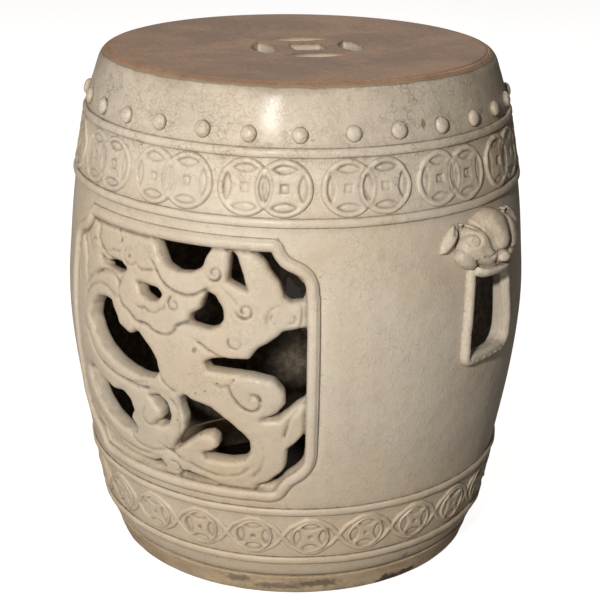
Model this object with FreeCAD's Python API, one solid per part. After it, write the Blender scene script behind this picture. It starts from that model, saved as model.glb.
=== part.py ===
"""Ceramic garden stool: a hollow barrel with a pierced seat, two carved dragon windows and two lion-mask handles.

The potter's pieces are pressed or carved apart and luted together with slip before the firing, so each
one is its own solid here, seated face to face on the barrel. Millimetres, +Z up, origin on the floor at
the barrel's axis. Azimuth 0 is the front, towards -Y, and azimuth grows towards +X.
The barrel is drawn with many narrow flat sides, so that every sprig on it has a flat, exact seat.
"""
import FreeCAD
import Part
import math
import os

from FreeCAD import Vector

# Barrel, from the floor up, with each ring drawn in from the belly by its inset
barrel_sides = 60
stool_height = 450.0
wall = 12.0
foot_height = 20.0
foot_inset = 40.5
foot_top_inset = 34.0
foot_ring_width = 23.5
lower_band_gap = 17.0
lower_band_height = 58.0
lower_band_bottom_inset = 28.0
lower_band_top_inset = 17.0
belly_height = 228.0
belly_radius = 206.0
belly_fullness = 1.5
belly_stages = 2
upper_band_drop = 48.0
upper_band_height = 60.0
upper_band_bottom_inset = 9.6
upper_band_top_inset = 21.0
neck_drop = 14.0
neck_inset = 31.0
shoulder_drop = 4.5
shoulder_inset = 35.5
rim_inset = 42.0

lower_band_bottom = foot_height + lower_band_gap
lower_band_top = lower_band_bottom + lower_band_height
upper_band_top = stool_height - upper_band_drop
upper_band_bottom = upper_band_top - upper_band_height
neck_height = stool_height - neck_drop
shoulder_height = stool_height - shoulder_drop
foot_radius = belly_radius - foot_inset
foot_inner_radius = foot_radius - foot_ring_width
foot_top_radius = belly_radius - foot_top_inset
lower_band_bottom_radius = belly_radius - lower_band_bottom_inset
lower_band_top_radius = belly_radius - lower_band_top_inset
upper_band_bottom_radius = belly_radius - upper_band_bottom_inset
upper_band_top_radius = belly_radius - upper_band_top_inset
neck_radius = belly_radius - neck_inset
shoulder_radius = belly_radius - shoulder_inset
rim_radius = belly_radius - rim_inset

# Seat
rim_width = 3.0
seat_thickness = 14.0
ledge_width = 10.0
ledge_thickness = 12.0
coin_offset = (7.0, 4.0)
coin_turn = 43.0
coin_square = 27.0
coin_petal_reach = 38.7
coin_petal_length = 52.0
coin_petal_width = 19.0

seat_radius = rim_radius - rim_width
seat_bottom = stool_height - seat_thickness

# Bead mouldings round the barrel
bead_width = 7.0
bead_rise = 2.4

# Row of round nail heads
nail_count = 29
nail_phase = 7.3
nail_lift = 10.5
nail_radius = 7.0
nail_rise = 5.0
nail_crown_radius = 4.4
nail_sides = 8

nail_height = upper_band_top + nail_lift

# Upper band of interlaced coin pairs
pair_coin_radius = 22.6
pair_spread = 31.0
pair_gap = 2.5
pair_relief = 2.0
pair_square = 8.0
pair_sides = 14

pair_level = (upper_band_bottom + upper_band_top) / 2

# Lower chain of coins
chain_count = 24
chain_phase = 6.0
chain_coin_radius = 15.5
chain_relief = 2.0
chain_sides = 8
ribbon_gap = 0.6
ribbon_waist = 8.0
ribbon_flare = 22.0
ribbon_root = 12.4
ribbon_fork = 3.0

chain_level = (lower_band_bottom + lower_band_top) / 2

# Carved windows
window_half_angle = 36.4
window_foot_gap = 8.0
window_head_gap = 9.0
corner_width = 36.0
corner_height = 42.0
corner_notch_across = 17.0
corner_notch_up = 15.0
corner_bulge = 3.5
moulding_width = 9.0
moulding_rise = 3.4
panel_thickness = 15.0
panel_rise = 1.6

window_bottom = lower_band_top + window_foot_gap
window_top = upper_band_bottom - window_head_gap

# The carver's drawing of one window, which is fitted to the window's size
drawing_half_width = 131.0
drawing_bottom = 103.0
drawing_top = 333.0

# Lion-mask handles
handle_turn = 83.0
opening_drop = 60.0
opening_height = 64.0
opening_width = 48.0
loop_bar = 11.5
loop_rise = 7.0
mask_half_width = 38.0
mask_half_height = 27.0
mask_rise = 14.0
muzzle_drop = 11.0
muzzle_half_width = 23.0
muzzle_half_height = 15.5
muzzle_rise = 24.0
brow_lift = 13.0
brow_half_width = 31.0
brow_half_height = 9.0
brow_rise = 19.0
ear_reach = 57.0
ear_root = 23.0
ear_tip_in = 8.5
ear_top_lift = 21.0
ear_tip_lift = 15.0
ear_bottom_lift = 1.0
ear_tip_drop = 5.0
ear_rise = 8.0
mask_sides = 12

opening_top = upper_band_bottom - opening_drop
opening_bottom = opening_top - opening_height
mask_level = opening_top + mask_half_height

PARTS = "parts"
AXIS = Vector(0, 0, 1)
CENTRE = Vector(0, 0, 0)
OUTSIDE = belly_radius * 1.3
INSIDE = belly_radius / 2


def save(name, shape):
    """Write one node's solid, or group of solids, to its STEP file."""
    shape.exportStep(os.path.join(PARTS, name + ".step"))


def turned(shape, azimuth):
    """The shape turned about the barrel's axis from the front to an azimuth."""
    return shape.rotated(CENTRE, AXIS, azimuth)


def closed(points):
    return points + points[:1]


def flat_face(points):
    return Part.Face(Part.makePolygon(closed(points)))


# Stacks of many-sided rings

def stack(rings):
    """A closed solid over rings of as many corners each, with flat sides between them."""
    faces = [flat_face(rings[0]), flat_face(rings[-1])]
    for low, high in zip(rings, rings[1:]):
        for k in range(len(low)):
            j = (k + 1) % len(low)
            faces.append(flat_face([low[k], low[j], high[j], high[k]]))
    solid = Part.makeSolid(Part.makeShell(faces))
    if solid.Volume < 0:
        solid.reverse()
    return solid


def barrel_stack(levels):
    """A many-sided turning over (radius, height) levels, from the lowest up."""
    angles = [2 * math.pi * k / barrel_sides for k in range(barrel_sides)]
    return stack([[Vector(r * math.cos(a), r * math.sin(a), z) for a in angles] for r, z in levels])


def belly(height):
    """Radius of the swelling between the two bands."""
    if height < belly_height:
        edge, edge_radius = lower_band_top, lower_band_top_radius
    else:
        edge, edge_radius = upper_band_bottom, upper_band_bottom_radius
    share = abs((height - belly_height) / (edge - belly_height))
    return belly_radius - (belly_radius - edge_radius) * share ** belly_fullness


def wall_profile():
    """The barrel's outline as (radius, height) from the floor to the rim round the seat."""
    points = [
        (foot_radius, 0.0),
        (foot_top_radius, foot_height),
        (lower_band_bottom_radius, lower_band_bottom),
        (lower_band_top_radius, lower_band_top),
    ]
    for low, high in ((lower_band_top, belly_height), (belly_height, upper_band_bottom)):
        for k in range(1, belly_stages + 1):
            height = low + (high - low) * k / belly_stages
            points.append((belly(height), height))
    points += [
        (upper_band_top_radius, upper_band_top),
        (neck_radius, neck_height),
        (shoulder_radius, shoulder_height),
        (rim_radius, stool_height),
    ]
    return points


def radius_at(height):
    """Outer radius of the barrel's corners at a height."""
    profile = wall_profile()
    for (low_radius, low), (high_radius, high) in zip(profile, profile[1:]):
        if low <= height <= high:
            return low_radius + (high_radius - low_radius) * (height - low) / (high - low)
    return profile[-1][0]


def body_between(bottom, top, offset=0.0):
    """The barrel's full round between two heights, swollen by an offset."""
    levels = [(radius_at(bottom), bottom)]
    levels += [(r, z) for r, z in wall_profile() if bottom < z < top]
    levels.append((radius_at(top), top))
    return barrel_stack([(r + offset, z) for r, z in levels])


def skin(bottom, top, near, far):
    """A ring that follows the wall between two heights and two offsets from its face."""
    return body_between(bottom, top, far).cut(body_between(bottom, top, near))


# Radial cutters

def radial_prism(points, azimuth=0.0):
    """A prism through the wall along the radius at an azimuth, over points (across, height)."""
    face = flat_face([Vector(x, -OUTSIDE, z) for x, z in points])
    return turned(face.extrude(Vector(0, OUTSIDE - INSIDE, 0)), azimuth)


def regular(count, radius, turn=0.0):
    """Corners of a regular polygon."""
    angles = [math.radians(turn + 360.0 * k / count) for k in range(count)]
    return [(radius * math.cos(a), radius * math.sin(a)) for a in angles]


def moved(points, across, up):
    return [(x + across, z + up) for x, z in points]


def square(side):
    return regular(4, side / math.sqrt(2), 45)


# Barrel, foot and seat

def barrel_wall():
    """The wall with its seat rebate, two windows and two hand openings."""
    ledge_radius = seat_radius - ledge_width
    hollow = [
        (foot_top_radius - wall, foot_height),
        (lower_band_top_radius - wall, lower_band_top),
        (belly_radius - wall, belly_height),
        (upper_band_bottom_radius - wall, upper_band_bottom),
        (upper_band_top_radius - wall, upper_band_top),
        (ledge_radius, seat_bottom - ledge_thickness),
        (ledge_radius, seat_bottom),
    ]
    body = body_between(foot_height, stool_height).cut(barrel_stack(hollow))
    body = body.cut(barrel_stack([(seat_radius, seat_bottom), (seat_radius, stool_height)]))
    for facing in (0, 180):
        body = body.cut(turned(cartouche(0.0), facing))
        body = body.cut(radial_prism(hand_opening(), handle_turn + facing))
    return body


def foot_ring():
    """The thick turned-in rim that the stool stands on."""
    hole = barrel_stack([(foot_inner_radius, 0.0), (foot_inner_radius, foot_height)])
    return body_between(0.0, foot_height).cut(hole)


def petal(length, width):
    """A lens of two arcs on the seat plane, its length along X."""
    half = length / 2
    upper = Part.Arc(Vector(-half, 0, 0), Vector(0, width / 2, 0), Vector(half, 0, 0))
    lower = Part.Arc(Vector(half, 0, 0), Vector(0, -width / 2, 0), Vector(-half, 0, 0))
    return Part.Face(Part.Wire([upper.toShape(), lower.toShape()]))


def seat_slab():
    """The seat disc, pierced with a square-holed coin of four petals."""
    slab = barrel_stack([(seat_radius, seat_bottom), (seat_radius, stool_height)])
    outlines = [flat_face([Vector(x, y, 0) for x, y in square(coin_square)])]
    for quarter in range(4):
        leaf = petal(coin_petal_length, coin_petal_width)
        leaf.translate(Vector(0, -coin_petal_reach, 0))
        outlines.append(turned(leaf, 90 * quarter))
    for outline in outlines:
        cutter = turned(outline, coin_turn).extrude(Vector(0, 0, seat_thickness))
        cutter.translate(Vector(coin_offset[0], coin_offset[1], seat_bottom))
        slab = slab.cut(cutter)
    return slab


# Beads and nail heads

def bead(level):
    """A ridged ring moulding on the wall, centred on a height."""
    low = level - bead_width / 2
    high = level + bead_width / 2
    ridge = [(radius_at(low), low), (radius_at(level) + bead_rise, level), (radius_at(high), high)]
    return barrel_stack(ridge).cut(body_between(low, high))


def beads():
    """The four mouldings, two that edge each band."""
    half = bead_width / 2
    return {
        "lower_band_bottom_bead": bead(lower_band_bottom + half),
        "lower_band_top_bead": bead(lower_band_top - half),
        "upper_band_bottom_bead": bead(upper_band_bottom + half),
        "upper_band_top_bead": bead(upper_band_top - half),
    }


def nail_heads():
    """A row of domed nail heads, pressed on one by one under the shoulder."""
    collar = body_between(nail_height - 2 * nail_radius, nail_height + 2 * nail_radius)
    radius = radius_at(nail_height)
    lean = math.degrees(math.atan2(upper_band_top_radius - neck_radius, neck_height - upper_band_top))
    rings = []
    for size, rise in ((2 * nail_radius - nail_crown_radius, -nail_rise), (nail_crown_radius, nail_rise)):
        rings.append([Vector(x, -rise, z) for x, z in regular(nail_sides, size)])
    dome = stack(rings)
    dome.rotate(CENTRE, Vector(1, 0, 0), -lean)
    dome.translate(Vector(0, -radius, nail_height))
    pitch = 360.0 / nail_count
    heads = [turned(dome, nail_phase + pitch * k).cut(collar) for k in range(nail_count)]
    return Part.makeCompound([head.Solids[0] for head in heads])


# Relief bands

def coin(radius, sides, across, level):
    """The outline of a coin as a many-sided round."""
    half_turn = 180.0 / sides
    return moved(regular(sides, radius / math.cos(math.radians(half_turn)), half_turn), across, level)


def coin_pairs():
    """The upper band's sprigs: two interlaced coins each, with their square holes."""
    band = skin(upper_band_bottom, upper_band_top, 0.0, pair_relief)
    width = pair_spread + 2 * pair_coin_radius
    count = int(2 * math.pi * radius_at(pair_level) / (width + pair_gap))
    sprigs = []
    for k in range(count):
        azimuth = 360.0 / count * k
        across = (-pair_spread / 2, pair_spread / 2)
        discs = [radial_prism(coin(pair_coin_radius, pair_sides, x, pair_level), azimuth) for x in across]
        sprig = discs[0].fuse(discs[1]).removeSplitter()
        for x in across:
            sprig = sprig.cut(radial_prism(moved(square(pair_square), x, pair_level), azimuth))
        sprigs.append(band.common(sprig).Solids[0])
    return sprigs


def chain_coins():
    """The lower band's sprigs: a coin each, with the flared ribbon that leads to the next coin."""
    band = skin(lower_band_bottom, lower_band_top, 0.0, chain_relief)
    pitch = 2 * math.pi * radius_at(chain_level) / chain_count
    end = pitch - chain_coin_radius - ribbon_gap
    middle = (ribbon_root + end) / 2
    waist = ribbon_waist / 2
    flare = ribbon_flare / 2
    ribbon = [(ribbon_root, -flare), (middle, -waist), (end + ribbon_fork, -flare), (end, 0),
              (end + ribbon_fork, flare), (middle, waist), (ribbon_root, flare)]
    sprigs = []
    for k in range(chain_count):
        azimuth = chain_phase + 360.0 / chain_count * k
        disc = radial_prism(coin(chain_coin_radius, chain_sides, 0, chain_level), azimuth)
        tail = radial_prism(moved(ribbon, 0, chain_level), azimuth)
        following = radial_prism(coin(chain_coin_radius + ribbon_gap, chain_sides, 0, chain_level),
                                 azimuth + 360.0 / chain_count)
        sprig = disc.fuse(tail).removeSplitter().cut(following)
        sprigs.append(band.common(sprig).Solids[0])
    return sprigs


# Carved windows

def corner_outline(inset):
    """The window's notched corner, two bulging lobes, as (in from the side, in from the edge)."""
    width = corner_width - inset
    height = corner_height - inset
    notch = (corner_notch_across - inset / 2, corner_notch_up - inset / 2)
    lobes = [(0.0, height)]
    for start, end in (((0.0, height), notch), (notch, (width, 0.0))):
        length = math.hypot(end[0] - start[0], end[1] - start[1])
        out = (-(start[1] - end[1]) / length, -(end[0] - start[0]) / length)
        lobes.append(((start[0] + end[0]) / 2 + out[0] * corner_bulge,
                      (start[1] + end[1]) / 2 + out[1] * corner_bulge))
        lobes.append(end)
    return lobes


def cartouche(inset):
    """The window's notched outline as a block through the wall, drawn in by an inset."""
    half_angle = window_half_angle - math.degrees(inset / belly_radius)
    bottom = window_bottom + inset
    top = window_top - inset
    face = flat_face([Vector(-INSIDE, 0, bottom), Vector(-OUTSIDE, 0, bottom), Vector(-OUTSIDE, 0, top),
                      Vector(-INSIDE, 0, top)])
    block = turned(face.revolve(CENTRE, AXIS, 2 * half_angle), 90 - half_angle)
    lobes = corner_outline(inset)
    width = lobes[-1][0]
    spare = 10.0
    waste = [(width, -spare), (-spare, -spare), (-spare, lobes[0][1])] + lobes
    corner_azimuth = half_angle - math.degrees(width / 2 / belly_radius)
    for side in (-1, 1):
        for level, up in ((bottom, 1), (top, -1)):
            points = [(side * (width / 2 - x), level + up * z) for x, z in waste]
            block = block.cut(radial_prism(points, side * corner_azimuth))
    return block


def carved_gaps():
    """The openings between the dragon's limbs, clouds and tail, as (across, height) on the drawing."""
    return [
        [(-13, 326), (-9, 314), (0, 304), (11, 300), (24, 301), (34, 306), (40, 315), (41, 326)],
        [(58, 316), (64, 312), (70, 303), (73, 292), (66, 295), (57, 298), (59, 307)],
        [(76, 325), (86, 324), (92, 318), (96, 308), (106, 302), (114, 294), (111, 286), (103, 284), (97, 288),
         (94, 298), (86, 310)],
        [(-76, 294), (-68, 292), (-58, 295), (-49, 295), (-43, 291), (-49, 287), (-62, 286), (-74, 286)],
        [(-28, 283), (-18, 283), (-8, 282), (-3, 278), (-6, 273), (-14, 271), (-24, 275)],
        [(39, 287), (47, 284), (53, 275), (54, 266), (50, 260), (42, 257), (24, 259), (25, 266), (34, 272)],
        [(-70, 260), (-61, 259), (-55, 250), (-49, 241), (-37, 236), (-30, 241), (-25, 240), (-15, 231), (-8, 221),
         (-6, 211), (-12, 204), (-26, 202), (-44, 204), (-60, 208), (-76, 215), (-88, 225), (-94, 236), (-91, 248),
         (-82, 257)],
        [(117, 260), (119, 240), (119, 218), (117, 203), (108, 197), (101, 189), (92, 182), (84, 181), (92, 187),
         (99, 196), (98, 207), (90, 217), (78, 221), (42, 222), (39, 228), (46, 232), (76, 234), (82, 244), (90, 252),
         (96, 259), (106, 261)],
        [(20, 195), (25, 191), (42, 187), (50, 181), (60, 174), (68, 167), (74, 159), (74, 149), (68, 141), (56, 138),
         (35, 138), (33, 142), (40, 145), (47, 151), (47, 158), (41, 163), (31, 160), (20, 152), (3, 138), (9, 149),
         (16, 160), (18, 172), (14, 183), (15, 191)],
        [(-17, 186), (-8, 188), (0, 183), (2, 172), (-1, 163), (-9, 159), (-14, 161), (-7, 166), (-7, 174), (-12, 179)],
        [(-100, 189), (-84, 184), (-66, 177), (-52, 179), (-44, 174), (-41, 166), (-46, 158), (-40, 150), (-43, 143),
         (-60, 143), (-80, 149), (-95, 159), (-104, 171), (-106, 183)],
        [(-103, 131), (-90, 126), (-62, 120), (-36, 119), (-24, 120), (-16, 124), (-12, 121), (-16, 117), (-34, 115),
         (-64, 116), (-88, 120)],
        [(10, 119), (17, 120), (25, 118), (34, 116), (44, 112), (25, 111), (9, 111), (7, 115)],
        [(118, 169), (119, 158), (118, 148), (112, 138), (103, 131), (97, 125), (91, 119), (83, 117), (89, 122),
         (96, 130), (100, 138), (101, 154), (108, 160)],
    ]


def fitted(points):
    """Points of the drawing as (across, height) on the window."""
    half_width = math.radians(window_half_angle) * belly_radius
    spread = half_width / drawing_half_width
    rise = (window_top - window_bottom) / (drawing_top - drawing_bottom)
    return [(x * spread, window_bottom + (z - drawing_bottom) * rise) for x, z in points]


def carved_panel():
    """The dragon panel: a plate of the wall's own curve, pierced between the limbs, clouds and tail."""
    plate = skin(window_bottom, window_top, panel_rise - panel_thickness, panel_rise).common(cartouche(0.0))
    for gap in map(fitted, carved_gaps()):
        middle = sum(x for x, z in gap) / len(gap)
        azimuth = math.degrees(middle / belly_radius)
        plate = plate.cut(radial_prism(moved(gap, -middle, 0), azimuth))
    return plate.Solids[0]


def window_frame():
    """The raised moulding that edges the carving, luted on the panel's face."""
    border = cartouche(0.0).cut(cartouche(moulding_width))
    return skin(window_bottom, window_top, panel_rise, moulding_rise).common(border).Solids[0]


# Lion-mask handles

def hand_opening():
    half = opening_width / 2
    return [(-half, opening_bottom), (half, opening_bottom), (half, opening_top), (-half, opening_top)]


def boss(half_width, half_height, level, rise):
    """A domed lobe of the mask: an oval that draws in as it stands out from the wall."""
    ground = radius_at(mask_level)
    rings = []
    for share, size in ((-1.0, 1.0), (0.45, 1.0), (0.85, 0.8), (1.0, 0.5)):
        corners = [(half_width * size * x, half_height * size * z) for x, z in regular(mask_sides, 1.0, 15.0)]
        rings.append([Vector(x, -ground - rise * share, level + z) for x, z in corners])
    return stack(rings)


def lion_mask():
    """A lion's face with brow, muzzle and pointed ears, which bites the handle loop."""
    mask = boss(mask_half_width, mask_half_height, mask_level, mask_rise)
    mask = mask.fuse(boss(muzzle_half_width, muzzle_half_height, mask_level - muzzle_drop, muzzle_rise))
    mask = mask.fuse(boss(brow_half_width, brow_half_height, mask_level + brow_lift, brow_rise))
    ground = radius_at(mask_level)
    for side in (-1, 1):
        ear = [(ear_root, ear_top_lift), (ear_root, ear_bottom_lift), (ear_reach, -ear_tip_drop),
               (ear_reach - ear_tip_in, ear_tip_lift)]
        face = flat_face([Vector(side * x, -ground - ear_rise, mask_level + z) for x, z in ear])
        mask = mask.fuse(face.extrude(Vector(0, ground / 4, 0)))
    low = mask_level - 2 * mask_half_height
    high = mask_level + 2 * mask_half_height
    return mask.removeSplitter().cut(body_between(low, high)).Solids[0]


def handle_loop(mask):
    """The squared loop held in the lion's mouth, framing the hand opening."""
    outer = opening_width / 2 + loop_bar
    low = opening_bottom - loop_bar
    bars = [(-outer, low), (outer, low), (outer, mask_level), (-outer, mask_level)]
    frame = radial_prism(bars).cut(radial_prism(hand_opening()))
    loop = skin(low, mask_level, 0.0, loop_rise).common(frame)
    pieces = loop.cut(mask).cut(radial_prism(above_loop())).Solids
    return max(pieces, key=lambda piece: piece.Volume)


def above_loop():
    """What lies over the loop's upper ends, where the mask begins."""
    reach = 2 * mask_half_width
    return [(-reach, opening_top), (reach, opening_top), (reach, mask_level * 2), (-reach, mask_level * 2)]


def main():
    os.makedirs(PARTS, exist_ok=True)
    save("barrel_wall", barrel_wall())
    save("foot_ring", foot_ring())
    save("seat_slab", seat_slab())
    save("nail_heads", nail_heads())
    for name, shape in beads().items():
        save(name, shape)
    for k, sprig in enumerate(coin_pairs()):
        save("coin_pair_%02d" % (k + 1), sprig)
    for k, sprig in enumerate(chain_coins()):
        save("chain_coin_%02d" % (k + 1), sprig)
    panel = carved_panel()
    frame = window_frame()
    for name, facing in (("front", 0), ("rear", 180)):
        save(name + "_dragon_panel", turned(panel, facing))
        save(name + "_window_frame", turned(frame, facing))
    mask = lion_mask()
    loop = handle_loop(mask)
    for name, facing in (("right", handle_turn), ("left", handle_turn + 180)):
        save(name + "_lion_mask", turned(mask, facing))
        save(name + "_handle_loop", turned(loop, facing))


main()
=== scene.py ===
"""Looks of an old cream-glazed barrel stool with dragon windows, coin bands and lion-mask handles.

Sizes are millimetres until a mesh is made, and the model itself is in metres. A turn is an angle
round the barrel's axis, from the front towards the right hand.
Each clay piece is drawn as a field: how far a point lies outside the clay. clay_skin finds the skin.
"""
import math

import bpy
import numpy as np
from mathutils import Matrix, Vector


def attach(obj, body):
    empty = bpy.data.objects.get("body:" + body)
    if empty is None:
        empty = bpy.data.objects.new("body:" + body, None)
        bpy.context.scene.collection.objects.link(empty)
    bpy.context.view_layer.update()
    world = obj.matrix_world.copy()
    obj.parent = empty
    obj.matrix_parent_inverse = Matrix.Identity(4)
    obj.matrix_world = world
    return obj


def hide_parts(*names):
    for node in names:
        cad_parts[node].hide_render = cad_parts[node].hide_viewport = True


MM = 0.001

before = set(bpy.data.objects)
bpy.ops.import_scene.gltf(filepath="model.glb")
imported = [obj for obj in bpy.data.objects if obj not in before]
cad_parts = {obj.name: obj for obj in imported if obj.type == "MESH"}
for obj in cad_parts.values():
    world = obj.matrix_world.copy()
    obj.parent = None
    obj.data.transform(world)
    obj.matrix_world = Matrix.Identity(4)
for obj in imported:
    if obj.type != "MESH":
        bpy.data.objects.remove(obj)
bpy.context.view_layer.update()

# Barrel outline, as (radius, height) from the floor to the rim
OUTLINE = [(165.5, 0), (172, 20), (178, 37), (189, 95), (200.2, 161.5), (206, 228),
           (203.1, 285), (196.4, 342), (185, 402), (175, 436), (170.5, 445.5), (164, 450)]
STOOL_TOP = 450.0
BELLY = 206.0
WALL = 12.0
FOOT_TOP = 20.0
FOOT_RADIUS = 170.0
FOOT_HOLE = 142.0

# Bands
BEAD_LEVELS = {"lower_band_bottom_bead": 40.5, "lower_band_top_bead": 91.5,
               "upper_band_bottom_bead": 345.5, "upper_band_top_bead": 398.5}
BEAD_HALF = 3.5
BEAD_RISE = 2.4
BEAD_RADIUS = 190.0
NAIL_COUNT = 29
NAIL_PHASE = 7.3
NAIL_LEVEL = 412.5
NAIL_RADIUS = 6.8
NAIL_RISE = 4.6
PAIR_COUNT = 15
PAIR_LEVEL = 372.0
PAIR_RADIUS = 22.4
PAIR_SPREAD = 31.0
CHAIN_COUNT = 24
CHAIN_PHASE = 6.0
CHAIN_LEVEL = 66.0
CHAIN_RADIUS = 15.3
SPRIG_RISE = 1.9
SPRIG_BACK = -1.6
SPRIG_LAYERS = np.array([-2.4, -1.0, -0.2, 0.8, 1.6, 2.8])

# Seat
SEAT_RADIUS = 164.5
SEAT_THICK = 14.0
SEAT_DISH = 2.2
COIN_OFFSET = (7.0, 4.0)
COIN_TURN = 43.0
COIN_SQUARE = 27.0
PETAL_REACH = 38.7
PETAL_LENGTH = 52.0
PETAL_WIDTH = 19.0

# Windows
WINDOW_LEVEL = 228.0
MOULDING_WIDTH = 11.0
MOULDING_RISE = 3.4
PANEL_THICK = 13.4
BORDER_RISE = -0.1
WINDOW_LAP = 4.0
WINDOW_SIDE = [(86.0, 334.0), (96.0, 333.5), (101.5, 330.5), (104.5, 324.5), (109.0, 319.5), (115.5, 316.5),
               (122.0, 313.0), (127.5, 307.5), (131.0, 299.5), (132.5, 288.0), (133.0, 276.0), (133.0, 158.0),
               (132.6, 147.0), (131.0, 138.5), (127.0, 131.0), (120.5, 124.5), (113.5, 119.5), (109.0, 114.0),
               (105.5, 108.0), (100.0, 103.5), (90.0, 101.5), (78.0, 101.5)]

# Handles
HANDLE_TURNS = {"right": 83.0, "left": 263.0}
OPENING_HALF = 26.5
OPENING_LOW = 218.0
OPENING_HIGH = 282.0
OPENING_LIFT = 3.0
OPENING_CORNERS = (4.0, 11.0)
LOOP_LEVEL = 250.0
LOOP_BAR = 9.5
LOOP_RISE = 5.6
MASK_LEVEL = 309.0
MASK_SHIFT = -4.0


# Drawing tools

def smooth_curve(points, per=8, closed=False):
    """A soft curve through given points."""
    p = np.array(points, float)
    if closed:
        p = np.concatenate([p[-1:], p, p[:2]])
    else:
        p = np.concatenate([2 * p[:1] - p[1:2], p, 2 * p[-1:] - p[-2:-1]])
    t = np.linspace(0, 1, per, endpoint=False)[:, None]
    out = []
    for a, b, c, d in zip(p, p[1:], p[2:], p[3:]):
        out.append(0.5 * (2 * b + (c - a) * t + (2 * a - 5 * b + 4 * c - d) * t ** 2
                          + (3 * b - a - 3 * c + d) * t ** 3))
    if not closed:
        out.append(p[-2:-1])
    return np.concatenate(out)


def spiral(across, up, outer, turns, start, hand):
    """A curl wound from its outer end, at an angle in degrees, in to its eye."""
    eye = 0.8
    t = np.linspace(0, 1, int(18 * turns) + 2)
    angle = math.radians(start) + hand * 2 * math.pi * turns * t
    radius = outer + (eye - outer) * t ** 0.8
    return np.stack([across + radius * np.cos(angle), up + radius * np.sin(angle)], -1)


def line_distance(x, z, line, closed=False):
    """Distance to a drawn line, and the side of it that each point lies on."""
    line = np.asarray(line, float)
    ends = np.roll(line, -1, 0) if closed else line[1:]
    best = np.full(x.shape, 1e9)
    side = np.ones(x.shape)
    for (ax, az), (bx, bz) in zip(line, ends):
        dx, dz = bx - ax, bz - az
        length = dx * dx + dz * dz
        if length < 1e-9:
            continue
        t = np.clip(((x - ax) * dx + (z - az) * dz) / length, 0, 1)
        d = np.hypot(x - ax - t * dx, z - az - t * dz)
        near = d < best
        best = np.where(near, d, best)
        side = np.where(near, np.sign(dx * (z - az) - dz * (x - ax)), side)
    return best, side


def loop_field(x, z, loop):
    """Signed distance to a closed outline, below zero inside it."""
    inside = np.zeros(x.shape, bool)
    for (ax, az), (bx, bz) in zip(loop, np.roll(loop, -1, 0)):
        if bz != az:
            inside ^= ((az > z) != (bz > z)) & (x < ax + (bx - ax) * (z - az) / (bz - az))
    far = line_distance(x, z, loop, closed=True)[0]
    return np.where(inside, -far, far)


def soften(grid, reach):
    """A soft blur over a drawn grid, by a reach in cells."""
    n = int(3 * reach) + 1
    kernel = np.exp(-0.5 * (np.arange(-n, n + 1) / reach) ** 2)
    kernel /= kernel.sum()
    for axis in (0, 1):
        pad = [(0, 0), (0, 0)]
        pad[axis] = (n, n)
        wide = np.pad(grid, pad, mode="edge")
        grid = sum(k * np.take(wide, range(i, i + grid.shape[axis]), axis) for i, k in enumerate(kernel))
    return grid


def ease(value, low, high):
    """Smooth step from 0 at low to 1 at high."""
    t = np.clip((value - low) / (high - low), 0, 1)
    return t * t * (3 - 2 * t)


def bell(value, width, power=2):
    """A soft peak of 1 where a value is 0."""
    return np.exp(-np.abs(value / width) ** power)


def blend_max(a, b, soft):
    """The larger of two fields, rounded where they meet."""
    h = np.clip(0.5 + 0.5 * (a - b) / soft, 0, 1)
    return b + (a - b) * h + soft * h * (1 - h)


def blend_min(a, b, soft):
    return -blend_max(-a, -b, soft)


def bumps(x, z, size, seed):
    """Gentle unevenness of hand-worked clay, about -1 to 1."""
    draw = np.random.default_rng(seed)
    total = np.zeros(np.broadcast(x, z).shape)
    for _ in range(9):
        heading = draw.uniform(0, math.pi)
        pitch = size * draw.uniform(0.6, 1.7)
        along = (x * math.cos(heading) + z * math.sin(heading)) * 2 * math.pi / pitch
        phase = draw.uniform(0, 2 * math.pi)
        total = total + np.sin(along + phase + 1.3 * np.sin(0.31 * along + draw.uniform(0, 6)))
    return total / 4.5


def rounded_box(x, z, half_wide, low, high, corner):
    """Signed distance to an upright box with rounded corners."""
    dx = np.abs(x) - half_wide + corner
    dz = np.abs(z - (low + high) / 2) - (high - low) / 2 + corner
    return np.hypot(np.maximum(dx, 0), np.maximum(dz, 0)) + np.minimum(np.maximum(dx, dz), 0) - corner


def lens(x, z, wide, high):
    """Signed distance to an upright lens, below zero inside it."""
    arc = (high ** 2 / wide + wide) / 4
    return np.hypot(z, np.abs(x) + arc - wide / 2) - arc


def all_round(step):
    """Turns all round the barrel, by a step in degrees."""
    return np.radians(np.arange(-180, 180, step))


def wrapped(turn):
    return (turn + math.pi) % (2 * math.pi) - math.pi


# The barrel's surface

PROFILE = smooth_curve(OUTLINE, 24)
PROFILE_LENGTH = np.concatenate([[0], np.cumsum(np.hypot(*np.diff(PROFILE, axis=0).T))])


def radius_at(height):
    return np.interp(height, PROFILE[:, 1], PROFILE[:, 0])


def length_at(height):
    """Length along the wall's outline from the floor to a height."""
    return np.interp(height, PROFILE[:, 1], PROFILE_LENGTH)


def profile_at(along):
    """Radius and height at a length along the wall's outline."""
    return np.interp(along, PROFILE_LENGTH, PROFILE[:, 0]), np.interp(along, PROFILE_LENGTH, PROFILE[:, 1])


def around_axis(turn, height, radius):
    return np.stack([radius * np.sin(turn), -radius * np.cos(turn), height], -1)


def on_wall(turn, height, out):
    """Points at a turn in radians, a height and a distance out from the wall."""
    lean = -np.arctan((radius_at(height + 3.0) - radius_at(height - 3.0)) / 6.0)
    return around_axis(turn, height + out * np.sin(lean), radius_at(height) + out * np.cos(lean))


def on_profile(turn, along, out):
    """Points at a turn, a length along the wall's outline and a distance out from it."""
    radius, height = profile_at(along)
    across, rise = np.subtract(profile_at(along + 2.0), profile_at(along - 2.0))
    length = np.hypot(across, rise)
    return around_axis(turn, height - out * across / length, radius + out * rise / length)


# Skins of clay

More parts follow.
